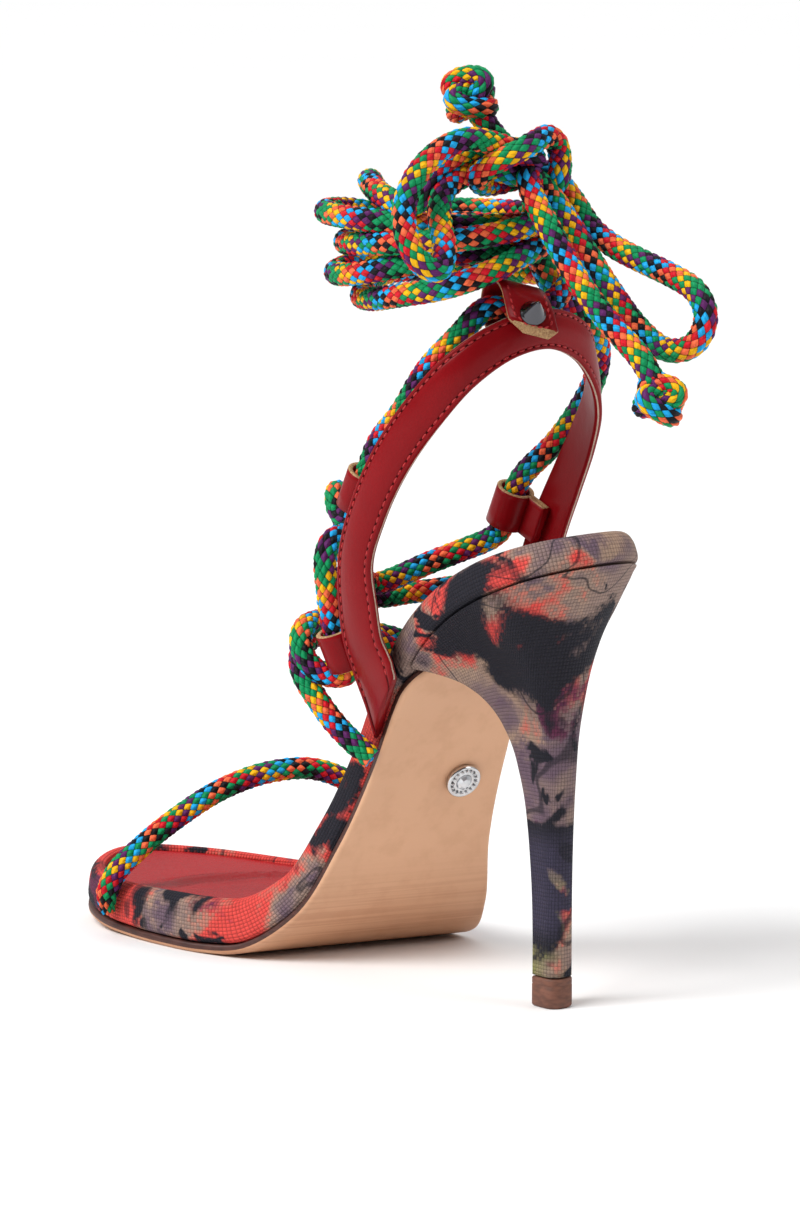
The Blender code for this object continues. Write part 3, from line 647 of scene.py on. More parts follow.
@dataclass(frozen=True)
class RopeFinish(Finish):
    """Braided cord: two families of coloured yarns that pass over and under each other, with
    painted shade in the gaps between them.
    """

    name: str = "braided_rope"
    yarns: int = 8
    lay: float = 0.0029
    right_hand: tuple = (BLUE, BLUE, ORANGE, ORANGE, GREEN, GREEN, PURPLE, PURPLE)
    left_hand: tuple = (BLACK, BLACK, GREEN, GREEN, YELLOW, YELLOW, RED, RED)

    def lay_nodes(self, bench: Bench, shader: Node) -> None:
        """Lays the nodes, which read the braid attribute of the rope."""
        braid = bench.node("ShaderNodeAttribute", attribute_name="braid").outputs["Vector"]
        cosine, sine, length = bench.parts(braid)
        turn = bench.times(bench.maths("ARCTAN2", sine, cosine), self.yarns / (2 * math.pi))
        rise = bench.maths("DIVIDE", length, self.lay)
        weave = interlace(bench, bench.plus(turn, rise), bench.minus(turn, rise))
        right = bench.chart(weave.first, self.right_hand)
        left = bench.chart(weave.second, self.left_hand)
        tone = bench.mix(weave.odd, right, left)
        split = bench.maths("FLOOR", bench.times(weave.across, 5.0))
        strand = bench.dice(split, weave.first, weave.second)
        lie = bench.vector(bench.times(weave.across, 9.0), weave.run, weave.first)
        fibre = bench.noise(lie, 1.6, 2.0)
        # Painted shade: the colour darkens where the yarns dip between cells, and each filament
        # also gets a random tone.
        yarn_tone_and_painted_gap_shade = bench.scaled(bench.step(weave.height, 0.0, 0.32), 0.92, 0.06)
        yarn_tone_and_painted_gap_shade = bench.times(yarn_tone_and_painted_gap_shade, bench.scaled(strand, 0.36, 0.82))
        tone = bench.mix(1.0, tone, bench.vector(yarn_tone_and_painted_gap_shade, yarn_tone_and_painted_gap_shade, yarn_tone_and_painted_gap_shade), "MULTIPLY")
        bench.feed(shader.inputs["Base Color"], tone)
        shader.inputs["Roughness"].default_value = 0.46
        shader.inputs["Specular IOR Level"].default_value = 0.12
        normal = bench.bump(weave.height, 0.00045, 0.9)
        bench.feed(shader.inputs["Normal"], bench.bump(fibre, 0.00012, 0.5, normal))


@dataclass(frozen=True)
class SoleLeatherFinish(Finish):
    """Natural tan sole leather: fine streaks, darker and more streaked low down toward the tread.
    """

    name: str = "tan_sole_leather"
    tan: Colour = (0.73, 0.41, 0.24)
    deep: Colour = (0.40, 0.165, 0.075)

    def lay_nodes(self, bench: Bench, shader: Node) -> None:
        """Lays the nodes of the finish."""
        place = own_place(bench)
        height = bench.parts(place)[2]
        streak = bench.noise(bench.stretch(place, (6.0, 30.0, 900.0)), 1.0, 3.0, 0.6)
        mottle = bench.noise(place, 130.0, 4.0, 0.6)
        tread = bench.step(height, 0.034, 0.002)
        lines = bench.times(tread, bench.step(streak, 0.42, 0.62))
        tone = bench.mix(bench.times(tread, 0.45), self.tan, self.deep)
        tone = bench.mix(bench.times(lines, 0.45), tone, self.deep)
        tone = bench.mix(bench.times(bench.step(mottle, 0.45, 0.7), 0.14), tone, self.deep)
        bench.feed(shader.inputs["Base Color"], tone)
        bench.feed(shader.inputs["Roughness"], bench.blend(mottle, 0.42, 0.62))
        pores = bench.noise(place, 1900.0, 2.0, 0.6)
        bench.feed(shader.inputs["Normal"], bench.bump(pores, 0.00006, 0.5))


@dataclass(frozen=True)
class EdgeDyeFinish(Finish):
    """Dyed and burnished edge of the sole, or the moulded heel tip."""

    tone: Colour = (0.085, 0.026, 0.018)
    rough: float = 0.34

    def lay_nodes(self, bench: Bench, shader: Node) -> None:
        """Lays the nodes of the finish."""
        place = own_place(bench)
        cloud = bench.noise(bench.stretch(place, (1.0, 1.0, 3.0)), 300.0, 3.0)
        tone = bench.mix(bench.step(cloud, 0.3, 0.7), dimmed(self.tone, 0.55), self.tone)
        bench.feed(shader.inputs["Base Color"], tone)
        bench.feed(shader.inputs["Roughness"], bench.blend(cloud, self.rough, self.rough + 0.25))
        grain = bench.noise(bench.stretch(place, (0.2, 0.2, 1.0)), 2400.0, 2.0)
        bench.feed(shader.inputs["Normal"], bench.bump(grain, 0.00005, 0.5))


@dataclass(frozen=True)
class MetalFinish(Finish):
    """Polished plated metal with faint rub marks."""

    name: str = "polished_metal"
    tone: Colour = (0.66, 0.66, 0.67)

    def lay_nodes(self, bench: Bench, shader: Node) -> None:
        """Lays the nodes of the finish."""
        rub = bench.noise(bench.stretch(own_place(bench), (1.0, 1.0, 6.0)), 1500.0, 2.0)
        tone = bench.mix(rub, dimmed(self.tone, 0.9), self.tone)
        bench.feed(shader.inputs["Base Color"], tone)
        shader.inputs["Metallic"].default_value = 1.0
        bench.feed(shader.inputs["Roughness"], bench.blend(rub, 0.06, 0.2))


@dataclass(frozen=True)
class GemFinish(Finish):
    """Clear faceted stone, kept opaque and glossy at this size, with grey and white patches painted
    on for its glints.
    """

    name: str = "clear_stone"
    painted_dim_facet: Colour = (0.55, 0.57, 0.60)
    clear: Colour = (0.92, 0.93, 0.95)

    def lay_nodes(self, bench: Bench, shader: Node) -> None:
        """Lays the nodes of the finish."""
        cloud = bench.noise(own_place(bench), 900.0, 1.0)
        # Painted glints: random grey and white patches stand in for the light that the facets send
        # back.
        bench.feed(shader.inputs["Base Color"], bench.mix(cloud, self.painted_dim_facet, self.clear))
        shader.inputs["Roughness"].default_value = 0.04
        shader.inputs["Metallic"].default_value = 0.55


@dataclass(frozen=True)
class ThreadFinish(Finish):
    """Waxed sewing thread."""

    name: str = "red_thread"
    tone: Colour = (0.520, 0.012, 0.016)

    def lay_nodes(self, bench: Bench, shader: Node) -> None:
        """Lays the nodes of the finish."""
        twist = bench.noise(own_place(bench), 3500.0, 1.0)
        tone = bench.mix(bench.step(twist, 0.3, 0.6), dimmed(self.tone, 0.45), self.tone)
        bench.feed(shader.inputs["Base Color"], tone)
        shader.inputs["Roughness"].default_value = 0.5
        bench.feed(shader.inputs["Normal"], bench.bump(twist, 0.0001))


# Darker, rougher leather for the faces of the stitch groove: painted shade in the groove.
PAINTED_GROOVE_SHADE = LeatherFinish("stitch_groove", (0.085, 0.003, 0.004), (0.040, 0.001, 0.002), 0.6, 0.0)
LINING = LeatherFinish(
    "insole_leather", (0.400, 0.008, 0.012), (0.220, 0.004, 0.006), 0.25, 0.10, 0.06
)
PALE_EDGE = RawEdgeFinish("pale_lining_edge", (0.62, 0.50, 0.40), (0.42, 0.29, 0.21))


def made_of(finish: Finish) -> Material:
    """Field of a wardrobe that makes a finish's material."""
    return field(default_factory=finish.material)


@dataclass
class Wardrobe:
    """Every finish of the sandal, made once."""

    canvas: Material = made_of(CanvasFinish())
    leather: Material = made_of(LeatherFinish("red_leather"))
    groove: Material = made_of(PAINTED_GROOVE_SHADE)
    lining: Material = made_of(LINING)
    cut: Material = made_of(RawEdgeFinish("cut_leather"))
    pale: Material = made_of(PALE_EDGE)
    sole: Material = made_of(SoleLeatherFinish())
    dye: Material = made_of(EdgeDyeFinish("edge_dye"))
    rubber: Material = made_of(EdgeDyeFinish("brown_rubber", (0.20, 0.075, 0.045), 0.5))
    metal: Material = made_of(MetalFinish())
    # The spike's metal is darkened to stand in for the dark surroundings that it reflects: a
    # painted reflection.
    dark_metal: Material = made_of(MetalFinish("dark_metal", (0.10, 0.10, 0.11)))
    gem: Material = made_of(GemFinish())
    thread: Material = made_of(ThreadFinish())
    rope: Material = made_of(RopeFinish())


# Geometry Nodes


def tree_input(tree: Tree, name: str, kind: str, value: object) -> str:
    """Adds a named input to a tree and gives its identifier."""
    made = tree.interface.new_socket(name, in_out="INPUT", socket_type=kind)
    if value is not None:
        made.default_value = value
    return made.identifier


@dataclass
class NodeTool:
    """A Geometry Nodes tree with named inputs, used on curve objects."""

    tree: Tree
    inputs: dict

    def mesh(self, guide: Object, name: str, **values: object) -> Object:
        """Runs the tree on a guide and keeps the result as a plain mesh.

        Args:
            guide: Curve that the tree works on; it is removed.
            name: Name of the new piece.
            **values: Inputs of the tree by name.

        Returns:
            The new piece.
        """
        modifier = guide.modifiers.new("nodes", "NODES")
        modifier.node_group = self.tree
        for key, value in values.items():
            modifier[self.inputs[key]] = value
        graph = bpy.context.evaluated_depsgraph_get()
        mesh = bpy.data.meshes.new_from_object(guide.evaluated_get(graph))
        bpy.data.objects.remove(guide, do_unlink=True)
        mesh.name = name
        return put_in_scene(name, mesh)


def new_tool(name: str, *sizes: tuple) -> tuple[NodeTool, Bench, Node]:
    """An empty tool with geometry in and out, its sizes, and its bench and inputs."""
    tree = bpy.data.node_groups.new(name, "GeometryNodeTree")
    tree_input(tree, "Geometry", "NodeSocketGeometry", None)
    inputs = {label: tree_input(tree, label, kind, value) for label, kind, value in sizes}
    tree.interface.new_socket("Geometry", in_out="OUTPUT", socket_type="NodeSocketGeometry")
    bench = Bench(tree)
    return NodeTool(tree, inputs), bench, bench.node("NodeGroupInput")


def finish_tool(bench: Bench, geometry: Socket, look: Socket) -> None:
    """Ends a tool: realised, smooth, with its material."""
    real = bench.fed(bench.node("GeometryNodeRealizeInstances"), Geometry=geometry)
    smooth = bench.fed(bench.node("GeometryNodeSetShadeSmooth"), Geometry=real.outputs[0])
    dress = bench.node("GeometryNodeSetMaterial")
    bench.fed(dress, Geometry=smooth.outputs[0], Material=look)
    bench.feed(bench.node("NodeGroupOutput").inputs[0], dress.outputs[0])


def captured(bench: Bench, name: str, geometry: Socket, value: Socket) -> Sockets:
    """Outputs of a node that keeps a number on each point of a curve, under a name."""
    made = bench.node("GeometryNodeCaptureAttribute", domain="POINT")
    made.capture_items.new("FLOAT", name)
    return bench.fed(made, **{"Geometry": geometry, name: value}).outputs


def balls_along(bench: Bench, size: Sockets, segments: int, radius: Feed) -> tuple[Node, Node]:
    """Node of the points along a tool's curve, and node that sets a ball on each of them."""
    spots = bench.node("GeometryNodeCurveToPoints", mode="LENGTH")
    bench.fed(spots, Curve=size["Geometry"], Length=size["Spacing"])
    ball = bench.node("GeometryNodeMeshUVSphere")
    bench.fed(ball, Segments=segments, Rings=6, Radius=radius)
    put = bench.node("GeometryNodeInstanceOnPoints")
    bench.fed(put, Points=spots.outputs["Points"], Instance=ball.outputs["Mesh"])
    return spots, put


def braid_tool() -> NodeTool:
    """Tool that makes a braided rope along a curve, with its yarns in relief."""
    tool, bench, given = new_tool(
        "braided_rope",
        ("Radius", "NodeSocketFloat", 0.0031),
        ("Ring Pitch", "NodeSocketFloat", 0.0006),
        ("Sides", "NodeSocketInt", 48),
        ("Yarns", "NodeSocketFloat", 8.0),
        ("Lay", "NodeSocketFloat", 0.0029),
        ("Relief", "NodeSocketFloat", 0.0005),
        ("Finish", "NodeSocketMaterial", None),
    )
    size = given.outputs
    path = bench.node("GeometryNodeResampleCurve", mode="LENGTH")
    bench.fed(path, Curve=size["Geometry"], Length=size["Ring Pitch"])
    place = bench.node("GeometryNodeSplineParameter").outputs
    run = captured(bench, "run", path.outputs[0], place["Length"])
    circle = bench.node("GeometryNodeCurvePrimitiveCircle", mode="RADIUS")
    bench.fed(circle, Resolution=size["Sides"], Radius=size["Radius"])
    around = captured(bench, "around", circle.outputs[0], place["Factor"])
    tube = bench.node("GeometryNodeCurveToMesh")
    bench.fed(tube, Curve=run["Geometry"], Scale=bench.node("GeometryNodeInputRadius").outputs[0])
    bench.fed(tube, **{"Profile Curve": around["Geometry"], "Fill Caps": True})
    turn = bench.times(around["around"], size["Yarns"])
    rise = bench.maths("DIVIDE", run["run"], size["Lay"])
    weave = interlace(bench, bench.plus(turn, rise), bench.minus(turn, rise))
    push = bench.node("ShaderNodeVectorMath", operation="SCALE")
    bench.feed(push.inputs[0], bench.node("GeometryNodeInputNormal").outputs[0])
    bench.fed(push, Scale=bench.times(bench.minus(weave.height, 0.7), size["Relief"]))
    angle = bench.times(around["around"], 2 * math.pi)
    cosine, sine = bench.maths("COSINE", angle), bench.maths("SINE", angle)
    braid = bench.vector(cosine, sine, run["run"])
    keep = bench.node("GeometryNodeStoreNamedAttribute", data_type="FLOAT_VECTOR", domain="POINT")
    bench.fed(keep, Name="braid", Geometry=tube.outputs[0], Value=braid)
    move = bench.node("GeometryNodeSetPosition")
    bench.fed(move, Geometry=keep.outputs[0], Offset=push.outputs[0])
    finish_tool(bench, move.outputs[0], size["Finish"])
    return tool


def stitch_tool() -> NodeTool:
    """Tool that sews a row of stitches along a curve."""
    tool, bench, given = new_tool(
        "stitch_row",
        ("Spacing", "NodeSocketFloat", 0.0025),
        ("Stitch", "NodeSocketFloat", 0.0019),
        ("Thread", "NodeSocketFloat", 0.00032),
        ("Finish", "NodeSocketMaterial", None),
    )
    size = given.outputs
    spots, sewn = balls_along(bench, size, 8, 1.0)
    shape = bench.vector(size["Thread"], size["Thread"], bench.times(size["Stitch"], 0.5))
    bench.fed(sewn, Rotation=spots.outputs["Rotation"], Scale=shape)
    finish_tool(bench, sewn.outputs[0], size["Finish"])
    return tool


def stud_ring_tool() -> NodeTool:
    """Tool that sets small round studs along a curve."""
    tool, bench, given = new_tool(
        "stud_ring",
        ("Spacing", "NodeSocketFloat", 0.0011),
        ("Radius", "NodeSocketFloat", 0.0004),
        ("Finish", "NodeSocketMaterial", None),
    )
    size = given.outputs
    put = balls_along(bench, size, 10, size["Radius"])[1]
    finish_tool(bench, put.outputs[0], size["Finish"])
    return tool


def guide_curve(lines: Sequence[Sequence[Point]], radii: Sequence[float] = ()) -> Object:
    """Poly curve through rows of places in millimetres, for a tool to work on.

    Args:
        lines: One row of places for each spline.
        radii: Factor on the thickness at each place, the same for each row; none leaves it be.

    Returns:
        The curve object.
    """
    curve = bpy.data.curves.new("guide", "CURVE")
    curve.dimensions = "3D"
    for line in lines:
        spline = curve.splines.new("POLY")
        spline.points.add(len(line) - 1)
        for i, (point, place) in enumerate(zip(spline.points, line)):
            point.co = (*(Vector(place) * MM), 1.0)
            point.radius = radii[i] if radii else 1.0
    return put_in_scene("guide", curve)


# The last


class Station(NamedTuple):
    """One section of the sole: underside place, half width, swing, skew and rim height."""

    place: str
    y: float
    z: float
    half: float
    swing: float
    skew: float
    rim: float


LAST = (
    Station("back of heel", -19.8, 116.4, 24.4, 0.0, 0.00, 11.2),
    Station("seat rear", -12.9, 114.1, 24.8, 0.0, 0.00, 11.6),
    Station("seat middle", -2.8, 109.9, 25.0, 0.0, 0.00, 12.0),
    Station("seat front", 11.0, 103.0, 24.8, 0.2, 0.03, 12.0),
    Station("breast", 24.8, 92.9, 23.0, 0.8, 0.08, 12.0),
    Station("shank rear", 38.6, 76.8, 20.6, 2.4, 0.15, 11.8),
    Station("shank", 51.5, 56.1, 20.1, 5.2, 0.22, 11.8),
    Station("waist", 63.5, 33.1, 22.0, 6.3, 0.30, 12.5),
    Station("ball rear", 75.4, 12.9, 27.5, 7.8, 0.32, 13.8),
    Station("ball", 89.2, 2.3, 33.2, 8.3, 0.32, 15.0),
    Station("tread rear", 105.8, 0.0, 35.6, 6.6, 0.30, 15.6),
    Station("tread front", 123.3, 0.0, 34.3, 4.3, 0.26, 15.2),
    Station("toe rear", 141.7, 0.5, 30.8, 1.3, 0.18, 14.4),
    Station("toe", 159.2, 1.8, 28.2, -0.8, 0.10, 14.0),
    Station("toe spring", 172.0, 3.2, 27.3, -1.6, 0.04, 13.6),
    Station("toe end", 180.0, 4.4, 27.0, -1.8, 0.00, 13.6),
)


@dataclass
class Last:
    """Form of the foot's underside, which every sole piece follows."""

    heel_round: float = 24.0
    toe_round: float = 38.0
    cap_steps: int = 18
    cap_from: float = 3.0
    cap_turn: float = 87.0
    pitch: float = 2.2
    outsole_thick: float = 2.6
    tongue_start: float = 54.0
    tongue_round: float = 17.0

    def __post_init__(self) -> None:
        """Works out the length along the underside."""
        self.spine = lengths([(row.y, row.z) for row in LAST])
        self.end = float(self.spine[-1])

    def value(self, column: str, s: float) -> float:
        """A column of the table at a length along the underside."""
        return float(along(self.spine, [getattr(row, column) for row in LAST], s))

    def point(self, s: float, x: float, height: float) -> Vector:
        """Place at s along the underside, x across it and height square to it."""
        y, z = self.value("y", s), max(0.0, self.value("z", s))
        back, front = max(s - 1.0, 0.0), min(s + 1.0, self.end)
        dy = self.value("y", front) - self.value("y", back)
        dz = max(0.0, self.value("z", front)) - max(0.0, self.value("z", back))
        run = math.hypot(dy, dz)
        y -= self.value("skew", s) * x
        return Vector((x, y - dz / run * height, z + dy / run * height))

    def outline(
        self, inset: float, start: float = 0.0, start_round: Optional[float] = None
    ) -> list[tuple]:
        """Plan of the sole drawn in by inset, with both ends rounded.

        Args:
            inset: How far in from the edge.
            start: Where the piece begins along the underside.
            start_round: Roundness of that end.

        Returns:
            Rows (s, medial x, lateral x).
        """
        start_round = self.heel_round if start_round is None else start_round
        first, last = start + inset, self.end - inset
        r0, r1 = start_round - inset, self.toe_round - inset
        steps = self.cap_steps
        turns = [math.radians(self.cap_from + self.cap_turn * i / steps) for i in range(steps + 1)]
        rows = [(first + r0 * (1 - math.cos(t)), math.sin(t)) for t in turns]
        straight = start + start_round
        span = self.end - self.toe_round - straight
        count = int(span / self.pitch)
        rows += [(straight + span * i / count, 1.0) for i in range(1, count)]
        rows += [(last - r1 * (1 - math.cos(t)), math.sin(t)) for t in reversed(turns)]
        found = []
        for s, part in rows:
            half = (self.value("half", s) - inset) * part
            swing = self.value("swing", s)
            found.append((s, swing - half, swing + half))
        return found

    def ring(self, inset: float, height: Callable[[float], float], **end: float) -> list[Vector]:
        """Closed ring of places round the plan, out along the medial side and back."""
        rows = self.outline(inset, **end)
        ring = [self.point(s, medial, height(s)) for s, medial, _ in rows]
        return ring + [self.point(s, lateral, height(s)) for s, _, lateral in reversed(rows)]


USUAL_RIM = 12.0


def smooth_layers(layers: Sequence[tuple], steps: int) -> list[tuple]:
    """Finer layers through a section's (inset, share of rim, offset) rows."""
    run = lengths([(inset, USUAL_RIM * share + offset) for inset, share, offset in layers])
    return [tuple(along(run, layers, run[-1] * i / steps)) for i in range(steps + 1)]


def ladder(skin: Skin, base: int, size: int, finish: int = 0) -> None:
    """Closes a ring of the sole with quads from side to side."""
    pairs = size // 2
    for i in range(pairs - 1):
        corners = (base + i, base + i + 1, base + size - 2 - i, base + size - 1 - i)
        skin.face(corners, [skin.points[c][:2] for c in corners], finish)


# Sole


class Crease(NamedTuple):
    """A wear crease of the insole: place, bow toward the toe, width, height and reach across."""

    s: float
    bow: float
    width: float
    height: float
    reach: float


@dataclass
class Sole:
    """Outsole, canvas platform and insole, with the metal button under the arch."""

    last: Last
    looks: Wardrobe
    dye_row: int = 4
    wrap_steps: int = 26
    rim_width: float = 4.5
    rim_fall: float = 0.3
    recess: float = 2.6
    insole_thick: float = 2.0
    insole_gap: float = 0.15
    insole_edge: float = 1.1
    insole_columns: int = 26
    toe_drop: float = 1.0
    drop_run: tuple = (125.0, 165.0)
    dish: float = 0.25
    button_s: float = 101.0
    button_x: float = 13.0
    stud_circle: tuple = (3.55, 1.62)
    stud_spacing: float = 1.35
    stud_radius: float = 0.42
    creases: tuple = (
        Crease(203.0, 9.0, 2.2, 1.0, 0.85),
        Crease(209.0, 12.0, 1.6, -0.45, 0.8),
        Crease(214.0, 14.0, 2.6, 1.15, 0.75),
        Crease(222.0, 16.0, 2.0, -0.4, 0.7),
        Crease(184.0, 6.0, 2.4, 0.35, 0.8),
        Crease(176.0, 5.0, 2.0, -0.3, 0.7),
    )

    def rim(self, s: float) -> float:
        """Height of the platform's rim."""
        return self.last.value("rim", s)

    def rim_ring(self, inset: float, share: float, offset: float, **end: float) -> list[Vector]:
        """Ring drawn in by inset, at a share of the rim's height and an offset."""
        return self.last.ring(inset, lambda s: share * self.rim(s) + offset, **end)

    def plate(self, layers: Sequence[tuple], finish: Callable, **end: float) -> Skin:
        """Gathers a solid lofted through layers of (inset, share of rim, offset)."""
        skin = Skin()
        rings = [self.rim_ring(*layer, **end) for layer in layers]
        base, size = skin.grid(rings, wrap=True, finish=finish), len(rings[0])
        ladder(skin, base, size, finish(0, 0))
        ladder(skin, base + (len(rings) - 1) * size, size, finish(len(rings) - 2, 0))
        return skin

    def build_outsole(self) -> Object:
        """Tan sole with a dyed edge, its rear end rounded up to the heel breast."""
        thick = self.last.outsole_thick
        layers = (
            (1.7, 0, 0.0),
            (1.5, 0, 0.0),
            (0.75, 0, 0.22),
            (0.42, 0, 0.6),
            (0.3, 0, 1.1),
            (0.3, 0, thick - 0.5),
            (0.6, 0, thick),
        )
        end = {"start": self.last.tongue_start, "start_round": self.last.tongue_round}
        skin = self.plate(layers, lambda i, j: 1 if i >= self.dye_row else 0, **end)
        obj = skin.build("outsole_leather", (self.looks.sole, self.looks.dye))
        return show(obj, Slot.OUTSOLE, "outsole")

    def build_platform(self) -> Object:
        """Canvas wrapped round the platform, over its rim and down inside."""
        base = self.last.outsole_thick + GAP
        layers = (
            (1.4, 0.0, base),
            (0.5, 0.0, base + 0.6),
            (0.0, 0.45, 0.45 * base),
            (0.4, 1.0, -2.6),
            (1.3, 1.0, -0.9),
            (2.8, 1.0, 0.0),
            (self.rim_width, 1.0, -0.4),
            (self.rim_width + self.rim_fall, 1.0, -self.recess),
        )
        skin = self.plate(smooth_layers(layers, self.wrap_steps), lambda i, j: 0)
        return show(skin.build("platform_canvas", (self.looks.canvas,)), Slot.CANVAS, "platform")

    def crease_height(self, s: float, share: float) -> float:
        """Lift of the insole's top by its creases, at s and a share across from -1 to 1."""
        lift = 0.0
        for crease in self.creases:
            fade = 1 - ease(crease.reach - 0.3, crease.reach + 0.1, abs(share))
            middle = crease.s - crease.bow * (share + 0.25) ** 2
            lift += crease.height * fade * math.exp(-(((s - middle) / crease.width) ** 2))
        return lift

    def sunk(self, s: float, above: float) -> float:
        """How far the worn insole has sunk toward the toe, above its underside."""
        return self.toe_drop * ease(*self.drop_run, s) if above > 0 else 0.0

    def insole_height(self, offset: float, low: float) -> Callable[[float], float]:
        """Height along the insole's edge at an offset from the rim; low is the underside's."""
        return lambda s: self.rim(s) + offset - self.sunk(s, offset - low)

    def build_insole(self) -> Object:
        """Red leather insole, dished and creased, with its pale cut edge showing at the rim."""
        side = self.rim_width + self.rim_fall + self.insole_gap
        low = GAP - self.recess
        top = low + self.insole_thick
        edge = (
            (side, low),
            (side, top - 0.5),
            (side + 0.35, top - 0.1),
            (side + self.insole_edge, top),
        )
        rings = [self.last.ring(inset, self.insole_height(at, low)) for inset, at in edge]
        skin = Skin()
        base = skin.grid(rings, wrap=True, finish=lambda i, j: 1 if i < 2 else 0)
        ladder(skin, base, len(rings[0]), 1)
        rows = []
        columns = self.insole_columns
        for s, medial, lateral in self.last.outline(side + self.insole_edge):
            row = []
            for j in range(columns + 1):
                share = 2 * j / columns - 1
                x = medial + (lateral - medial) * j / columns
                height = self.rim(s) + top - self.dish * (1 - share * share) - self.sunk(s, 1.0)
                height += self.crease_height(s, share) * (1 - share**4)
                row.append(self.last.point(s, x, height))
            rows.append(row)
        skin.grid(rows)
        obj = skin.build("insole_leather", (self.looks.lining, self.looks.pale))
        return show(obj, Slot.RED, "insole")

    def build_button(self) -> None:
        """Plain metal button under the arch: a dished disc, a ring of studs and a stone."""
        place, s, x, near = self.last.point, self.button_s, self.button_x, 4
        ahead = place(s + near, x, 0) - place(s - near, x, 0)
        across = place(s, x + near, 0) - place(s, x - near, 0)
        down = ahead.cross(across).normalized()
        seat = place(s, x, 0.0) + down * GAP
        disc = turned("button_disc", BUTTON, 64, seat, down, (self.looks.metal,))
        show(disc, Slot.SILVER, "sole_button")
        ring = [place_on(seat, down, *self.stud_circle, 360.0 * i / 72) for i in range(73)]
        sizes = {"Spacing": self.stud_spacing * MM, "Radius": self.stud_radius * MM}
        tool = stud_ring_tool()
        studs = tool.mesh(guide_curve([ring]), "button_studs", Finish=self.looks.metal, **sizes)
        show(studs, Slot.SILVER)
        stone = turned("button_stone", STONE, 8, seat, down, (self.looks.gem,), smooth=False)
        show(stone, Slot.SILVER)

    def build(self) -> None:
        """Makes every piece of the sole."""
        self.build_outsole()
        self.build_platform()
        self.build_insole()
        self.build_button()


# Turned profiles, rows of (radius, height)
BUTTON = (
    (0.0, 0.0), (4.7, 0.0), (4.95, 0.3), (5.0, 0.9), (4.85, 1.3), (4.55, 1.5), (4.2, 1.5),
    (3.9, 1.3), (3.1, 1.28), (2.7, 1.5), (2.45, 1.5), (2.3, 1.2), (0.0, 1.2),
)
STONE = ((0.0, 1.1), (2.2, 1.1), (2.2, 1.5), (1.4, 2.25), (0.0, 2.5))
SPIKE = (
    (0.0, 0.0), (3.35, 0.0), (3.45, 0.35), (3.35, 0.75), (3.05, 1.0),
    (2.9, 1.25), (1.2, 4.6), (0.5, 6.0), (0.25, 6.3), (0.0, 6.4),
)
LEAST_RADIUS = 1e-4


def axes_of(axis: Vector) -> tuple[Vector, Vector]:
    """Two ways square to an axis."""
    side = axis.cross(Vector((0.0, 0.0, 1.0)))
    side = side.normalized() if side.length > 1e-3 else Vector((1.0, 0.0, 0.0))
    return side, axis.cross(side)


def place_on(seat: Vector, axis: Vector, radius: float, height: float, degrees: float) -> Vector:
    """Place round an axis."""
    side, up = axes_of(axis)
    turn = math.radians(degrees)
    return seat + axis * height + (side * math.cos(turn) + up * math.sin(turn)) * radius


def turned(
    name: str,
    profile: Sequence[tuple],
    steps: int,
    seat: Vector,
    axis: Vector,
    looks: Sequence[Material],
    smooth: bool = True,
) -> Object:
    """Solid turned round an axis from (radius, height) rows.

    Args:
        name: Name of the piece.
        profile: Rows from the axis at the seat to the axis at the top.
        steps: Sides round the axis.
        seat: Where the axis meets the seat.
        axis: Way up.
        looks: Its materials.
        smooth: Whether it shades as round.

    Returns:
        The object.
    """
    skin = Skin()
    turns = [360.0 * i / steps for i in range(steps)]
    rings = []
    for radius, height in profile:
        radius = max(radius, LEAST_RADIUS)
        rings.append([place_on(seat, axis, radius, height, turn) for turn in turns])
    skin.grid(rings, wrap=True)
    obj = skin.build(name, looks)
    for polygon in obj.data.polygons:
        polygon.use_smooth = smooth
    return obj


# Heel


class Flare(NamedTuple):
    """How far the heel has spread from stem to seat at a share of its rise."""

    rise: float
    back: float
    front: float


FLARES = (
    Flare(0.00, 0.000, 0.000),
    Flare(0.12, 0.000, 0.000),
    Flare(0.25, 0.006, 0.006),
    Flare(0.38, 0.025, 0.022),
    Flare(0.50, 0.062, 0.045),
    Flare(0.60, 0.110, 0.075),
    Flare(0.68, 0.190, 0.115),
    Flare(0.75, 0.285, 0.160),
    Flare(0.81, 0.400, 0.220),
    Flare(0.86, 0.530, 0.290),
    Flare(0.90, 0.670, 0.370),
    Flare(0.94, 0.800, 0.490),
    Flare(0.97, 0.900, 0.640),
    Flare(0.99, 0.960, 0.840),
    Flare(1.00, 1.000, 1.000),
)
# Rings of the heel tip: height, and growth beyond the stem
TIP_RINGS = (
    (0.0, -0.5), (0.25, -0.1), (0.7, 0.12), (5.9, 0.12),
    (6.1, -0.05), (6.3, 0.1), (7.6, 0.1), (8.0, -0.2),
)


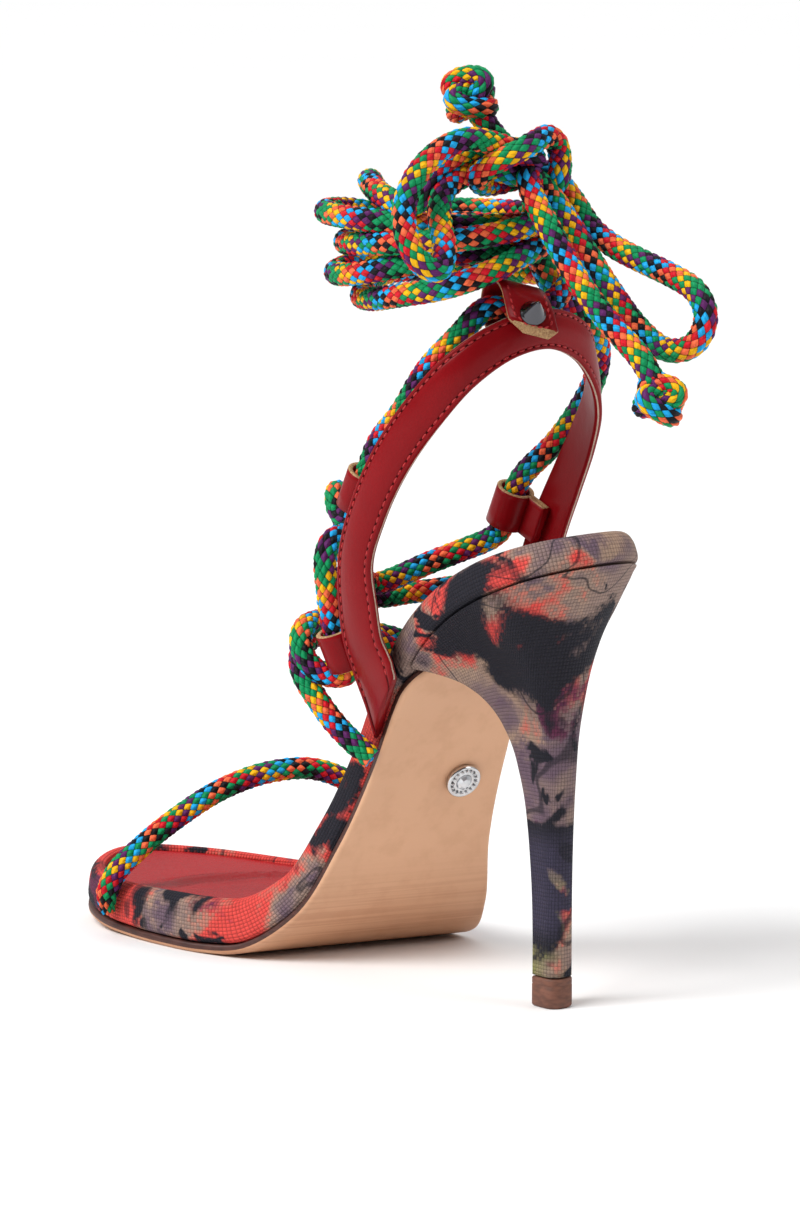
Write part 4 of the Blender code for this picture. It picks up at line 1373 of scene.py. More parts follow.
@dataclass
class Heel:
    """Canvas-covered stem heel and its rubber tip."""

    last: Last
    looks: Wardrobe
    tip_height: float = 8.0
    half: float = 4.2
    back: float = 3.4
    front: float = 5.0
    horn_length: float = 7.0
    horn_steps: int = 12
    horn_bend: float = 1.4
    horn_width: float = 1.2
    seat_inset: float = 0.9
    seat_end: float = 6.0
    seat_sunk: float = 0.2
    flat_turn: float = 118.0
    flat_share: float = 0.4695
    squareness: float = 0.75
    rise_steps: int = 64
    rise_power: float = 1.5

    def stem_ring(
        self, outer: Sequence[float], inner: Sequence[float], grow: float = 0.0
    ) -> list[tuple]:
        """D-shaped ring: a round back through the outer shares, a flat front through the inner."""
        ring = []
        for share in outer:
            turn = math.radians(-self.flat_turn + 2 * self.flat_turn * share)
            side, back = math.sin(turn), math.cos(turn)
            x = math.copysign((self.half + grow) * abs(side) ** self.squareness, side)
            reach = (self.back if back > 0 else self.front / self.flat_share) + grow
            ring.append((x, -back * reach))
        x_end, y_end = ring[-1]
        return ring + [(x_end * (1 - 2 * share), y_end) for share in inner]

    def top(self) -> tuple[list[Vector], list[Vector]]:
        """Seat ring of the heel: out round the seat, then in along the outsole's end."""
        inset, clear, steps = self.seat_inset, 2 * GAP - 0.3, self.horn_steps
        breast = self.last.tongue_start
        front = breast - clear
        sides = [row for row in self.last.outline(inset) if row[0] < breast - self.seat_end]
        horn, arc = [], [self.last.value("swing", breast)]
        for i in range(steps + 1):
            s = front + self.horn_length * (i / steps) ** self.horn_bend
            half = self.last.value("half", s) - inset
            middle = self.last.value("swing", s)
            horn.append((s, middle - half, middle + half))
            if i:
                bend = self.last.tongue_round + clear
                reach = (bend - (s - front)) / bend
                width = (self.last.value("half", s) + clear) * math.sqrt(1 - reach * reach)
                arc.append(min(width, half - self.horn_width))
        sides += horn
        height = self.last.outsole_thick - self.seat_sunk
        outer = [self.last.point(s, medial, height) for s, medial, _ in reversed(sides)]
        outer += [self.last.point(s, lateral, height) for s, _, lateral in sides]
        inner = []
        for sign, order in ((1, range(steps, 0, -1)), (0, (0,)), (-1, range(1, steps + 1))):
            for i in order:
                middle = self.last.value("swing", horn[i][0]) if i else 0.0
                x = middle + arc[i] * (sign if i else 1)
                inner.append(self.last.point(horn[i][0], x, height))
        return outer, inner

    def build_heel(self) -> Object:
        """Heel cover, flared from the stem to the seat."""
        outer, inner = self.top()
        shares = lengths(outer)
        outer_shares = list(shares / shares[-1])
        inner_shares = [(i + 1) / (len(inner) + 1) for i in range(len(inner))]
        stem = self.stem_ring(outer_shares, inner_shares)
        ends = outer + inner
        base = self.tip_height + GAP
        fronts = [ease(0.4, 0.9, abs(2 * share - 1)) for share in outer_shares]
        fronts += [1.0] * len(inner)
        rises = [flare.rise for flare in FLARES]
        rings = []
        for k in range(self.rise_steps + 1):
            rise = 1 - (1 - k / self.rise_steps) ** self.rise_power
            back, front = along(rises, [(f.back, f.front) for f in FLARES], rise)
            ring = []
            for (x, y), end, share in zip(stem, ends, fronts):
                blend = back + (front - back) * share
                place = Vector((x, y, base)).lerp(end, blend)
                place.z = base + (end.z - base) * rise
                ring.append(place)
            rings.append(ring)
        array = np.array([[tuple(p) for p in ring] for ring in rings])
        middle = len(outer) // 2
        round_way = np.zeros(array.shape[:2])
        steps = np.linalg.norm(np.diff(array, axis=1), axis=2)
        round_way[:, 1:] = np.cumsum(steps, axis=1)
        round_way -= round_way[:, middle : middle + 1]
        rise_way = np.zeros(array.shape[:2])
        rise_way[1:] = np.cumsum(np.linalg.norm(np.diff(array, axis=0), axis=2), axis=0)
        size = len(ends)

        def uv_of(i: int, j: int) -> tuple:
            """Length round from the back line, and length up from the tip."""
            if j < size:
                return round_way[i, j], rise_way[i, j]
            return round_way[i, size - 1] + 0.3, rise_way[i, size - 1]

        skin = Skin()
        skin.tube(rings, uv_of=uv_of)
        return show(skin.build("heel_canvas", (self.looks.canvas,)), Slot.CANVAS, "heel")

    def build_tip(self) -> Object:
        """Rubber tip with a fine joint line above it."""
        outer = [i / 48.0 for i in range(49)]
        inner = [(i + 1) / 12.0 for i in range(11)]
        rings = []
        for z, grow in TIP_RINGS:
            rings.append([(x, y, z) for x, y in self.stem_ring(outer, inner, grow)])
        skin = Skin()
        skin.tube(rings)
        return show(skin.build("heel_tip_rubber", (self.looks.rubber,)), Slot.TIP, "heel_tip")

    def build(self) -> None:
        """Makes the heel and its tip."""
        self.build_heel()
        self.build_tip()


# Ankle sling


class Band(NamedTuple):
    """One section of the sling: centre, width, facing and lean of its width, in degrees."""

    place: str
    x: float
    y: float
    z: float
    width: float
    facing: float
    lean: float = 0


BANDS = (
    Band("medial end", -20.2, 44.4, 75.5, 27.0, 101, -48),
    Band("medial flare", -21.7, 44.6, 80.4, 24.5, 101, -36),
    Band("medial foot", -23.9, 45.2, 86.8, 21.0, 99, -16),
    Band("medial keeper", -26.5, 46.0, 94.0, 17.4, 96, -3),
    Band("medial low", -28.6, 45.7, 103.5, 15.4, 93),
    Band("medial bow", -30.5, 44.4, 116.5, 13.0, 92),
    Band("medial mid", -31.0, 38.8, 130.0, 12.6, 88),
    Band("medial high", -30.5, 29.6, 145.0, 12.0, 80),
    Band("medial rise", -28.5, 19.6, 157.5, 11.5, 66),
    Band("medial turn", -24.0, 11.6, 167.5, 11.0, 48),
    Band("back medial", -14.0, 6.0, 175.0, 10.6, 24),
    Band("back", 0.0, 4.0, 177.5, 10.5, 0),
    Band("back lateral", 14.0, 6.5, 173.0, 10.6, -24),
    Band("lateral turn", 23.2, 11.5, 164.5, 11.0, -50),
    Band("lateral rise", 28.3, 16.5, 155.5, 11.0, -66),
    Band("lateral high", 31.2, 23.0, 145.5, 11.5, -76),
    Band("lateral mid", 32.6, 30.5, 133.5, 12.0, -84),
    Band("lateral bow", 33.2, 38.0, 120.0, 12.6, -90),
    Band("lateral low", 32.6, 43.0, 106.0, 13.0, -93),
    Band("lateral keeper", 31.5, 45.4, 94.0, 13.0, -95, 3),
    Band("lateral foot", 30.2, 46.0, 84.5, 13.8, -95, 16),
    Band("lateral flare", 28.9, 45.4, 76.0, 17.6, -96, 38),
    Band("lateral end", 28.3, 44.8, 70.6, 19.0, -96, 52),
)


class Keeper(NamedTuple):
    """A folded leather loop on the sling that the lace runs through."""

    name: str
    row: int
    shift: float
    reach: float
    depth: float


KEEPERS = {
    keeper.name: keeper
    for keeper in (
        Keeper("keeper_medial_lower", 3, -3.6, 14.7, 1.8),
        Keeper("keeper_medial_upper", 6, -1.0, 10.0, 6.2),
        Keeper("keeper_lateral_upper", 17, 0.0, 11.6, 4.6),
        Keeper("keeper_lateral_lower", 19, 5.5, 12.4, 3.0),
    )
}


class Fold(NamedTuple):
    """One section of the heel tab: out from the sling, up, turn of its face, width and twist."""

    out: float
    up: float
    turn: float
    width: float = 13.2
    twist: float = 0


FOLDS = (
    Fold(8.0, 0.8, 34, 7.6, 18),
    Fold(6.6, 2.9, 34, 13.2, 18),
    Fold(5.0, 5.3, 34, 13.2, 18),
    Fold(3.3, 7.8, 35, 13.2, 14),
    Fold(1.8, 9.6, 43, 13.2, 9),
    Fold(-0.2, 11.0, 58, 13.2, 4),
    Fold(-2.6, 11.9, 74),
    Fold(-6.0, 12.1, 93),
    Fold(-9.2, 10.8, 122),
    Fold(-11.3, 8.2, 152),
    Fold(-11.9, 5.0, 180),
    Fold(-11.2, 2.0, 208),
    Fold(-9.2, -0.2, 238),
    Fold(-7.0, -1.3, 245),
    Fold(-5.2, -2.6, 222),
    Fold(-4.0, -4.5, 190),
    Fold(-3.9, -6.4, 180),
)


class Rim(NamedTuple):
    """A point of the strap's section: share of the half width, share of the half thickness."""

    across: float
    out: float


STRAP_FACE = (
    Rim(1.0, 0.05),
    Rim(0.985, 0.45),
    Rim(0.955, 0.75),
    Rim(0.915, 0.93),
    Rim(0.86, 0.98),
    Rim(0.815, 0.88),
    Rim(0.785, 0.62),
    Rim(0.755, 0.62),
    Rim(0.72, 0.88),
    Rim(0.66, 1.06),
    Rim(0.5, 1.30),
    Rim(0.25, 1.52),
)
STRAP_CREST = Rim(0.0, 1.6)
STITCH_GROOVE = (5, 6, 7)
STRAP_BACK = (
    Rim(1.0, -0.35),
    Rim(0.985, -0.7),
    Rim(0.95, -0.95),
    Rim(0.88, -1.0),
    Rim(0.5, -1.0),
)
STRAP_LINING = Rim(0.0, -1.0)
# Bands between which the tab sits
TAB_BANDS = (9, 12)
# Row of stitches round the tab's flap: across, and down from its middle
TAB_TRAIL = ((-4.9, -6.5), (-4.9, 1.0), (-2.7, 3.2), (2.7, 3.2), (4.9, 1.0), (4.9, -6.5))


@dataclass
class AnkleSling:
    """Stitched leather strap round the ankle, with four lace keepers, heel tab and spike."""

    looks: Wardrobe
    thick: float = 2.2
    steps: int = 300
    stitch_line: float = 0.77
    stitch_from: float = 0.03
    stitch_span: float = 0.94
    stitch_lift: float = 0.74
    keeper_length: float = 11.0
    keeper_wall: float = 1.3
    keeper_short: float = 0.5
    loop_radius: float = 3.9
    loop_steps: int = 56
    tail_steps: int = 8
    tab_thick: float = 1.4
    tab_x: float = -8.5
    tab_yaw: float = 9.0
    tab_roll: float = 15.0
    tab_cut: float = 1.0
    tab_bevel: float = 1.8
    tab_tail: float = 3.4
    tab_steps: int = 110
    tab_eased: float = 0.32
    swell_run: tuple = (3.5, 8.0)
    flap_middle: tuple = (5.3, 4.9)
    flap_spacing: float = 1.8
    flap_stitch: float = 1.4
    thread_lift: float = 0.05

    def __post_init__(self) -> None:
        """Works out the length along the sling and where the tab sits on it."""
        self.run = lengths([(row.x, row.y, row.z) for row in BANDS])
        first, last = TAB_BANDS
        spots = np.linspace(self.run[first], self.run[last], 200)
        self.tab_at = float(min(spots, key=lambda at: abs(self.value("x", at) - self.tab_x)))

    def value(self, column: str, at: float) -> float:
        """A column of the table at a length along the sling."""
        return float(along(self.run, [getattr(row, column) for row in BANDS], at))

    def centre(self, at: float) -> Vector:
        """Middle of the strap at a length along it."""
        return Vector([self.value(column, at) for column in "xyz"])

    def frame(self, at: float) -> tuple[Vector, Vector, Vector, Vector]:
        """Centre, run, outward facing and forward width at a length along the sling."""
        ahead, behind = min(at + 1, float(self.run[-1])), max(at - 1, 0.0)
        run = (self.centre(ahead) - self.centre(behind)).normalized()
        turn = math.radians(self.value("facing", at))
        facing = Vector((-math.sin(turn), -math.cos(turn), 0.0))
        facing = (facing - run * facing.dot(run)).normalized()
        return self.centre(at), run, facing, facing.cross(run)

    def section(self, at: float) -> tuple[Vector, Vector, Vector, float]:
        """Centre, width way, facing and half width of the strap at a length along it."""
        centre, run, facing, forward = self.frame(at)
        lean = math.radians(self.value("lean", at))
        way = forward * math.cos(lean) + run * math.sin(lean)
        return centre, way, facing, self.value("width", at) / 2

    def build_strap(self) -> Object:
        """The strap: domed face, stitched grooves with painted shade, rolled edges, lining with a
        pale cut edge.
        """
        face = [*STRAP_FACE, STRAP_CREST]
        face += [Rim(-rim.across, rim.out) for rim in reversed(STRAP_FACE)]
        back = [Rim(-rim.across, rim.out) for rim in STRAP_BACK]
        shape = [*face, *back, STRAP_LINING, *reversed(STRAP_BACK)]
        finishes = dict.fromkeys((len(face) - 1, len(shape) - 1), 1)
        # The groove's faces take the darker leather: painted shade.
        for j in STITCH_GROOVE:
            finishes[j] = finishes[len(face) - 2 - j] = 2
        side = self.thick / 2
        rings = []
        for i in range(self.steps + 1):
            centre, way, facing, half = self.section(float(self.run[-1]) * i / self.steps)
            line = [centre + way * (half * rim.across) for rim in shape]
            rings.append([p + facing * (side * rim.out) for p, rim in zip(line, shape)])
        skin = Skin()
        skin.tube(rings, finish=lambda i, j: finishes.get(j, 0))
        looks = (self.looks.leather, self.looks.pale, self.looks.groove)
        return show(skin.build("sling_strap", looks), Slot.RED, "ankle_sling")

    def build_stitches(self) -> Object:
        """Two rows of stitches, one along each edge of the strap."""
        lines = []
        for side in Side:
            line = []
            for i in range(self.steps + 1):
                share = self.stitch_from + self.stitch_span * i / self.steps
                centre, way, facing, half = self.section(float(self.run[-1]) * share)
                place = centre + way * (half * self.stitch_line * side.value)
                line.append(place + facing * (self.thick / 2 * self.stitch_lift))
            lines.append(line)
        obj = stitch_tool().mesh(guide_curve(lines), "sling_stitches", Finish=self.looks.thread)
        return show(obj, Slot.RED)

    def keeper_frame(self, keeper: Keeper) -> tuple[Vector, Vector, Vector, Vector]:
        """Loop centre, axis up, forward way and inward way of a keeper."""
        centre, run, facing, forward = self.frame(float(self.run[keeper.row]) + keeper.shift)
        axis = run if run.z > 0 else -run
        return centre + forward * keeper.reach - facing * keeper.depth, axis, forward, -facing

    def build_keeper(self, keeper: Keeper) -> Object:
        """Folded loop round the rope, with raw cut edges at its two mouths."""
        wall = self.keeper_wall
        radius = self.loop_radius + wall / 2
        near = self.thick / 2 + GAP - keeper.depth + wall / 2
        far = near + wall
        back = self.keeper_short - keeper.reach
        first = 180 - math.degrees(math.asin(near / radius))
        last = 540 - math.degrees(math.asin(far / radius))
        steps, tail = self.loop_steps, self.tail_steps
        turns = [math.radians(first + (last - first) * i / steps) for i in range(steps + 1)]
        ring = [(radius * math.cos(t), radius * math.sin(t)) for t in turns]
        start, end = ring[0][0], ring[-1][0]
        line = [(back + (start - back) * i / tail, near) for i in range(tail)] + ring
        line += [(end + (back - end) * i / tail, far) for i in range(1, tail + 1)]
        centre, axis, forward, inward = self.keeper_frame(keeper)
        ways = np.gradient(np.array(line), axis=0)
        rings = []
        for (x, y), (dx, dy) in zip(line, ways):
            norm = math.hypot(dx, dy)
            out = (forward * dy - inward * dx) / norm
            middle = centre + forward * x + inward * y
            rings.append(ribbon_ring(middle, axis, out, self.keeper_length, wall))
        skin = Skin()
        skin.tube(rings, finish=lambda i, j: 1 if j in RIBBON_CUT else 0)
        obj = skin.build(keeper.name + "_leather", (self.looks.leather, self.looks.cut))
        return show(obj, Slot.RED, keeper.name)

    def tab_axes(self, twist: float = 0.0) -> tuple[Vector, Vector, Vector]:
        """Sling centre, outward way and side way of the tab, turned about the upright by twist."""
        centre, run, _, _ = self.frame(self.tab_at)
        heading = math.atan2(run.y, run.x) - math.radians(self.tab_yaw + twist)
        level = Vector((math.cos(heading), math.sin(heading), 0.0))
        roll = math.radians(self.tab_roll)
        side = level * math.cos(roll) - Vector((0.0, 0.0, math.sin(roll)))
        return centre, Vector((level.y, -level.x, 0.0)), side

    def tab_place(self, out: float, up: float) -> Vector:
        """Place on the tab's middle line."""
        centre, way, _ = self.tab_axes()
        return centre + way * out + Vector((0.0, 0.0, up))

    def tab_flap(self) -> tuple[Vector, Vector, Vector, Vector]:
        """Middle of the flap's face, with its side, fall and outward ways."""
        low, high = FOLDS[1:3]
        side = self.tab_axes(low.twist)[2]
        fall = self.tab_place(low.out, low.up) - self.tab_place(high.out, high.up)
        fall = fall.normalized()
        normal = fall.cross(side).normalized()
        face = self.tab_place(*self.flap_middle) + normal * (self.tab_thick / 2)
        return face, side, fall, normal

    def build_tab(self) -> None:
        """Folded heel tab with a chamfered, cut lower end, its stitches and its spike."""
        run = lengths([(fold.out, fold.up) for fold in FOLDS])
        count = self.tab_steps

        def ring_at(at: float) -> list[Vector]:
            """Section of the tab at a length from its lower end, thicker near the cut."""
            out, up, turn, _, twist = (float(value) for value in along(run, FOLDS, at))
            _, way, side = self.tab_axes(twist)
            turn = math.radians(turn)
            normal = way * math.cos(turn) + Vector((0, 0, math.sin(turn)))
            width = float(np.interp(at, run, [fold.width for fold in FOLDS]))
            swell = self.tab_cut * (1 - ease(*self.swell_run, at))
            place = self.tab_place(out, up) - normal * (swell / 2)
            thick = self.tab_thick + swell
            return ribbon_ring(place, side, normal, width, thick, self.tab_eased)

        reach = float(run[-1]) - self.tab_tail - self.tab_bevel
        rings = [ring_at(self.tab_bevel + reach * i / count) for i in range(count + 1)]
        end = ring_at(0.0)
        for j in RIBBON_FACE:
            end[j] = rings[0][j]
        rings.insert(0, end)
        skin = Skin()
        skin.tube(rings, 1, finish=lambda i, j: 1 if j in RIBBON_LINE else 0)
        obj = skin.build("heel_tab_leather", (self.looks.leather, self.looks.cut))
        show(obj, Slot.RED, "heel_tab")
        face, side, fall, normal = self.tab_flap()
        line = [face + side * x + fall * y + normal * self.thread_lift for x, y in TAB_TRAIL]
        sizes = {"Spacing": self.flap_spacing * MM, "Stitch": self.flap_stitch * MM}
        tool = stitch_tool()
        sewn = tool.mesh(guide_curve([line]), "tab_stitches", Finish=self.looks.thread, **sizes)
        show(sewn, Slot.RED)
        seat = face + normal * GAP
        # Its darkened metal is a painted dark reflection.
        spike = turned("tab_spike_metal", SPIKE, 64, seat, normal, (self.looks.dark_metal,))
        show(spike, Slot.SILVER, "tab_spike")

    def build(self) -> None:
        """Makes the strap and all that is on it."""
        self.build_strap()
        self.build_stitches()
        for keeper in KEEPERS.values():
            self.build_keeper(keeper)
        self.build_tab()


# Columns of a ribbon's section: the cut sides, their middle lines, and the outward face
RIBBON_CUT = {0, 1, 2, 8, 9, 10}
RIBBON_LINE = {1, 9}
RIBBON_FACE = {0, 1, 10, 11, 12, 13, 14, 15}


def ribbon_ring(
    middle: Vector, way: Vector, out: Vector, width: float, thick: float, eased: float = 0.22
) -> list[Vector]:
    """Section of a leather ribbon with eased edges; its two narrow sides are the cut ones."""
    half, side, soft = width / 2, thick / 2, thick * eased
    flat = half - soft * 0.6
    shape = [(flat, side), (half, side - soft), (half, soft - side), (flat, -side)]
    shape += [(half * 0.4, -side), (0.0, -side), (-half * 0.4, -side), (-half * 0.7, -side)]
    shape += [(-flat, -side), (-half, soft - side), (-half, side - soft), (-flat, side)]
    shape += [(-half * 0.4, side), (0.0, side), (half * 0.4, side), (half * 0.7, side)]
    return [middle + way * w + out * f for w, f in shape]


# Rope

TOE_ROPE = (
    (-31.6, 147.2, 6.6), (-32.6, 146.6, 11.5), (-31.2, 144.6, 17.5), (-25.0, 140.8, 25.0),
    (-15.0, 136.0, 33.2), (-4.0, 130.0, 40.5), (8.0, 124.0, 44.5), (20.0, 119.5, 44.5),
    (31.0, 116.0, 39.5), (39.0, 113.5, 30.5), (43.4, 112.0, 21.0), (44.1, 111.5, 13.0),
    (42.9, 111.5, 6.6),
)
STRAND_P = (
    (-18.6, 51.4, 61.2), (-21.4, 56.0, 65.4), (-23.4, 62.0, 70.8), (-24.8, 67.0, 76.6),
    (-25.4, 71.0, 81.2), (-24.2, 74.4, 85.2), (-19.6, 77.6, 88.6), (-11.8, 81.0, 90.4),
    (0.0, 82.2, 90.2), (10.0, 80.6, 88.2), (20.0, 75.0, 84.0), (26.0, 70.0, 77.5),
    (28.0, 63.5, 73.5),
)
STRAND_P_BACK = (
    (25.4, 63.0, 101.8), (20.0, 68.0, 100.8), (14.6, 74.5, 99.8), (8.0, 78.0, 98.8),
    (1.5, 78.0, 101.0), (-4.5, 75.5, 107.5), (-10.5, 71.0, 117.0), (-16.0, 66.5, 127.6),
    (-20.6, 62.8, 132.0), (-24.0, 59.6, 130.8), (-25.4, 56.6, 126.2),
)
STRAND_Q = (
    (29.4, 54.5, 58.2), (31.6, 58.0, 62.0), (30.0, 63.0, 66.5), (25.5, 68.0, 72.0),
    (16.0, 73.0, 80.0), (2.0, 75.8, 89.2), (-9.5, 76.6, 94.2), (-18.0, 75.8, 95.0),
    (-24.2, 73.2, 93.6), (-26.6, 71.2, 89.4), (-25.6, 68.6, 85.0), (-21.8, 64.0, 81.8),
)
STRAND_Q_BACK = (
    (-26.2, 60.6, 107.4), (-26.8, 61.0, 113.0), (-24.6, 62.0, 118.0), (-19.6, 63.4, 119.8),
    (-13.4, 66.0, 116.6), (-7.0, 69.6, 109.4), (0.0, 72.6, 103.4), (6.8, 69.6, 105.4),
    (13.0, 64.5, 109.0), (19.4, 58.6, 112.4),
)
RISER_MEDIAL = ((-24.5, 33.0, 155.5), (-23.0, 25.0, 167.0), (-18.0, 17.5, 176.5))
RISER_MEDIAL_END = ((7.9, 10.9, 183.4),)
RISER_LATERAL = (
    (33.4, 36.4, 142.4), (36.6, 30.6, 151.5), (37.4, 25.4, 160.0), (34.4, 20.6, 169.5),
    (27.0, 18.6, 178.0), (18.4, 19.0, 182.6),
)
KNOT_ENTRY_P = (
    (-28.4, 20.6, 212.4), (-26.3, 19.6, 217.7), (-19.3, 17.6, 222.6), (-10.5, 14.0, 224.4),
    (-3.4, 9.6, 222.6), (-1.6, 6.4, 220.6), (-4.2, 5.2, 221.4),
)
KNOT_ENTRY_Q = ((5.0, 13.5, 210.0), (4.2, 12.0, 214.5))
KNOT_RIGHT = Vector((0.743, -0.669, 0.0))
KNOT_UP = Vector((0.099, 0.110, 0.989))
KNOT_OUT = Vector((-0.662, -0.735, 0.148))
KNOT_TURN = (
    (3.0, 0.5, -9.0), (-3.0, -0.6, -9.0), (-8.6, -2.2, -6.5), (-12.2, -2.6, -1.0),
    (-12.7, -0.8, 5.0), (-9.1, 1.8, 8.5), (-4.9, 3.9, 9.5), (-1.0, 6.0, 8.5), (2.3, 8.1, 5.0),
    (4.9, 9.4, 1.0), (7.0, 8.0, -2.0), (8.0, 4.2, -3.0), (7.8, -0.5, -3.0), (6.4, -4.2, -5.0),
)
LOOP_MEDIAL = (
    (-8.0, 6.6, 223.0), (-15.6, 9.2, 225.6), (-22.1, 9.9, 227.0), (-28.4, 11.7, 225.2),
    (-34.0, 12.7, 221.6), (-39.7, 12.8, 215.8), (-43.1, 11.9, 209.2), (-44.3, 8.9, 202.0),
    (-43.0, 5.3, 196.2), (-39.0, 3.4, 194.0), (-34.6, 5.4, 198.5), (-31.7, 9.9, 203.4),
    (-29.6, 13.5, 208.8), (-24.6, 16.6, 213.8), (-17.0, 17.0, 217.2), (-9.4, 13.6, 218.6),
    (-4.0, 10.0, 216.2),
)
LOOP_BACK = (
    (4.0, 11.0, 218.0), (9.6, 5.4, 210.4), (10.4, -0.4, 203.4), (10.4, -8.5, 199.2),
    (10.0, -19.2, 196.0), (9.8, -32.0, 192.5), (9.0, -41.0, 189.1), (7.5, -45.7, 183.0),
    (6.0, -43.8, 176.9), (4.6, -34.9, 174.3), (3.6, -26.2, 178.8), (3.0, -17.3, 186.9),
    (2.4, -8.7, 196.3), (2.0, -0.3, 206.1), (0.0, 5.1, 213.1),
)
END_UPPER = (
    (0.0, 13.2, 219.0), (-1.0, 17.6, 222.2), (-3.0, 21.2, 226.3), (-5.0, 23.6, 230.6),
    (-6.0, 27.5, 236.0),
)
END_LOWER = (
    (-7.0, 5.0, 217.5), (-7.6, 2.4, 212.6), (-8.4, -4.1, 205.3), (-8.2, -11.7, 195.6),
    (-7.4, -19.3, 186.9), (-6.6, -29.0, 178.7), (-5.8, -37.0, 172.0), (-5.0, -41.7, 164.0),
)


class EndKnot(NamedTuple):
    """An overhand knot at a lace's end: its solid, centre, sizes and axis."""

    name: str
    node: str
    centre: tuple
    size: tuple
    axis: tuple


UPPER_KNOT = EndKnot(
    "end_knot_upper",
    "lace_end_knot_upper",
    (-6.0, 27.5, 236.3),
    (1.75, 1.75, 4.2),
    (0.74, -0.64, 0.2),
)
LOWER_KNOT = EndKnot(
    "end_knot_lower",
    "lace_end_knot_lower",
    (-5.0, -41.7, 163.0),
    (1.4, 1.4, 3.8),
    (0.70, -0.66, -0.25),
)


@dataclass
class Winding:
    """Turns of the lace about the ankle: fanned out at the inner front, bunched elsewhere."""

    centre: tuple = (-4.0, 39.5)
    reach: tuple = (25.0, 28.5)
    fan_z: float = 197.8
    bunch_z: float = 200.6
    fan_step: float = 7.95
    bunch_step: float = 3.15
    dip: float = 2.5
    column: float = 3.3
    low_lift: float = 1.6
    tuck_drop: float = 3.8
    tuck_out: float = 5.0
    fan_from: tuple = (140, 215)
    fan_to: tuple = (228, 330)
    fan_late: tuple = (14, 28)
    dip_from: tuple = (30, 90)
    dip_to: tuple = (140, 200)
    climb: float = 55
    step: float = 15
    fan_out: tuple = (-5.1, 1.7, -0.8, 4.2, -7.2)

    def point(self, degrees: float, level: float, column: float) -> tuple:
        """Place on a turn: degrees from the back by the outer side, level up, column out or in."""
        turn, at = math.radians(degrees), degrees % 360.0
        late = max(0.0, 2 - level) / 2
        close = [angle + more * late for angle, more in zip(self.fan_to, self.fan_late)]
        share = ease(*self.fan_from, at) * (1 - ease(*close, at))
        tuck = max(0.0, 1 - level) * (1 - share)
        z = self.bunch_z + (self.fan_z - self.bunch_z) * share
        z -= self.dip * ease(*self.dip_from, at) * (1 - ease(*self.dip_to, at))
        z += (level - 2) * (self.bunch_step + (self.fan_step - self.bunch_step) * share)
        z += self.low_lift * max(0.0, 1 - level) * share - self.tuck_drop * tuck
        out = column * self.column * (1 - share) + self.tuck_out * tuck
        out += float(np.interp(level, range(5), self.fan_out)) * share
        x = self.centre[0] + (self.reach[0] + out) * math.sin(turn)
        return (x, self.centre[1] - (self.reach[1] + out) * math.cos(turn), z)

    def turns(
        self, start: float, end: float, level: float, column: float, shift: Sequence[float]
    ) -> list[tuple]:
        """Places along several turns.

        Args:
            start: First angle in degrees.
            end: Last angle in degrees.
            level: Level of the first turn.
            column: Column at the back.
            shift: Angles about which the cord climbs two levels.

        Returns:
            The places, about one for each step of degrees.
        """
        count = int(abs(end - start) / self.step)
        found = []
        for i in range(count + 1):
            angle = start + (end - start) * i / count
            climbed = sum(ease(at - self.climb, at + self.climb, abs(angle)) for at in shift)
            found.append(self.point(angle, level + 2 * climbed, column))
        return found


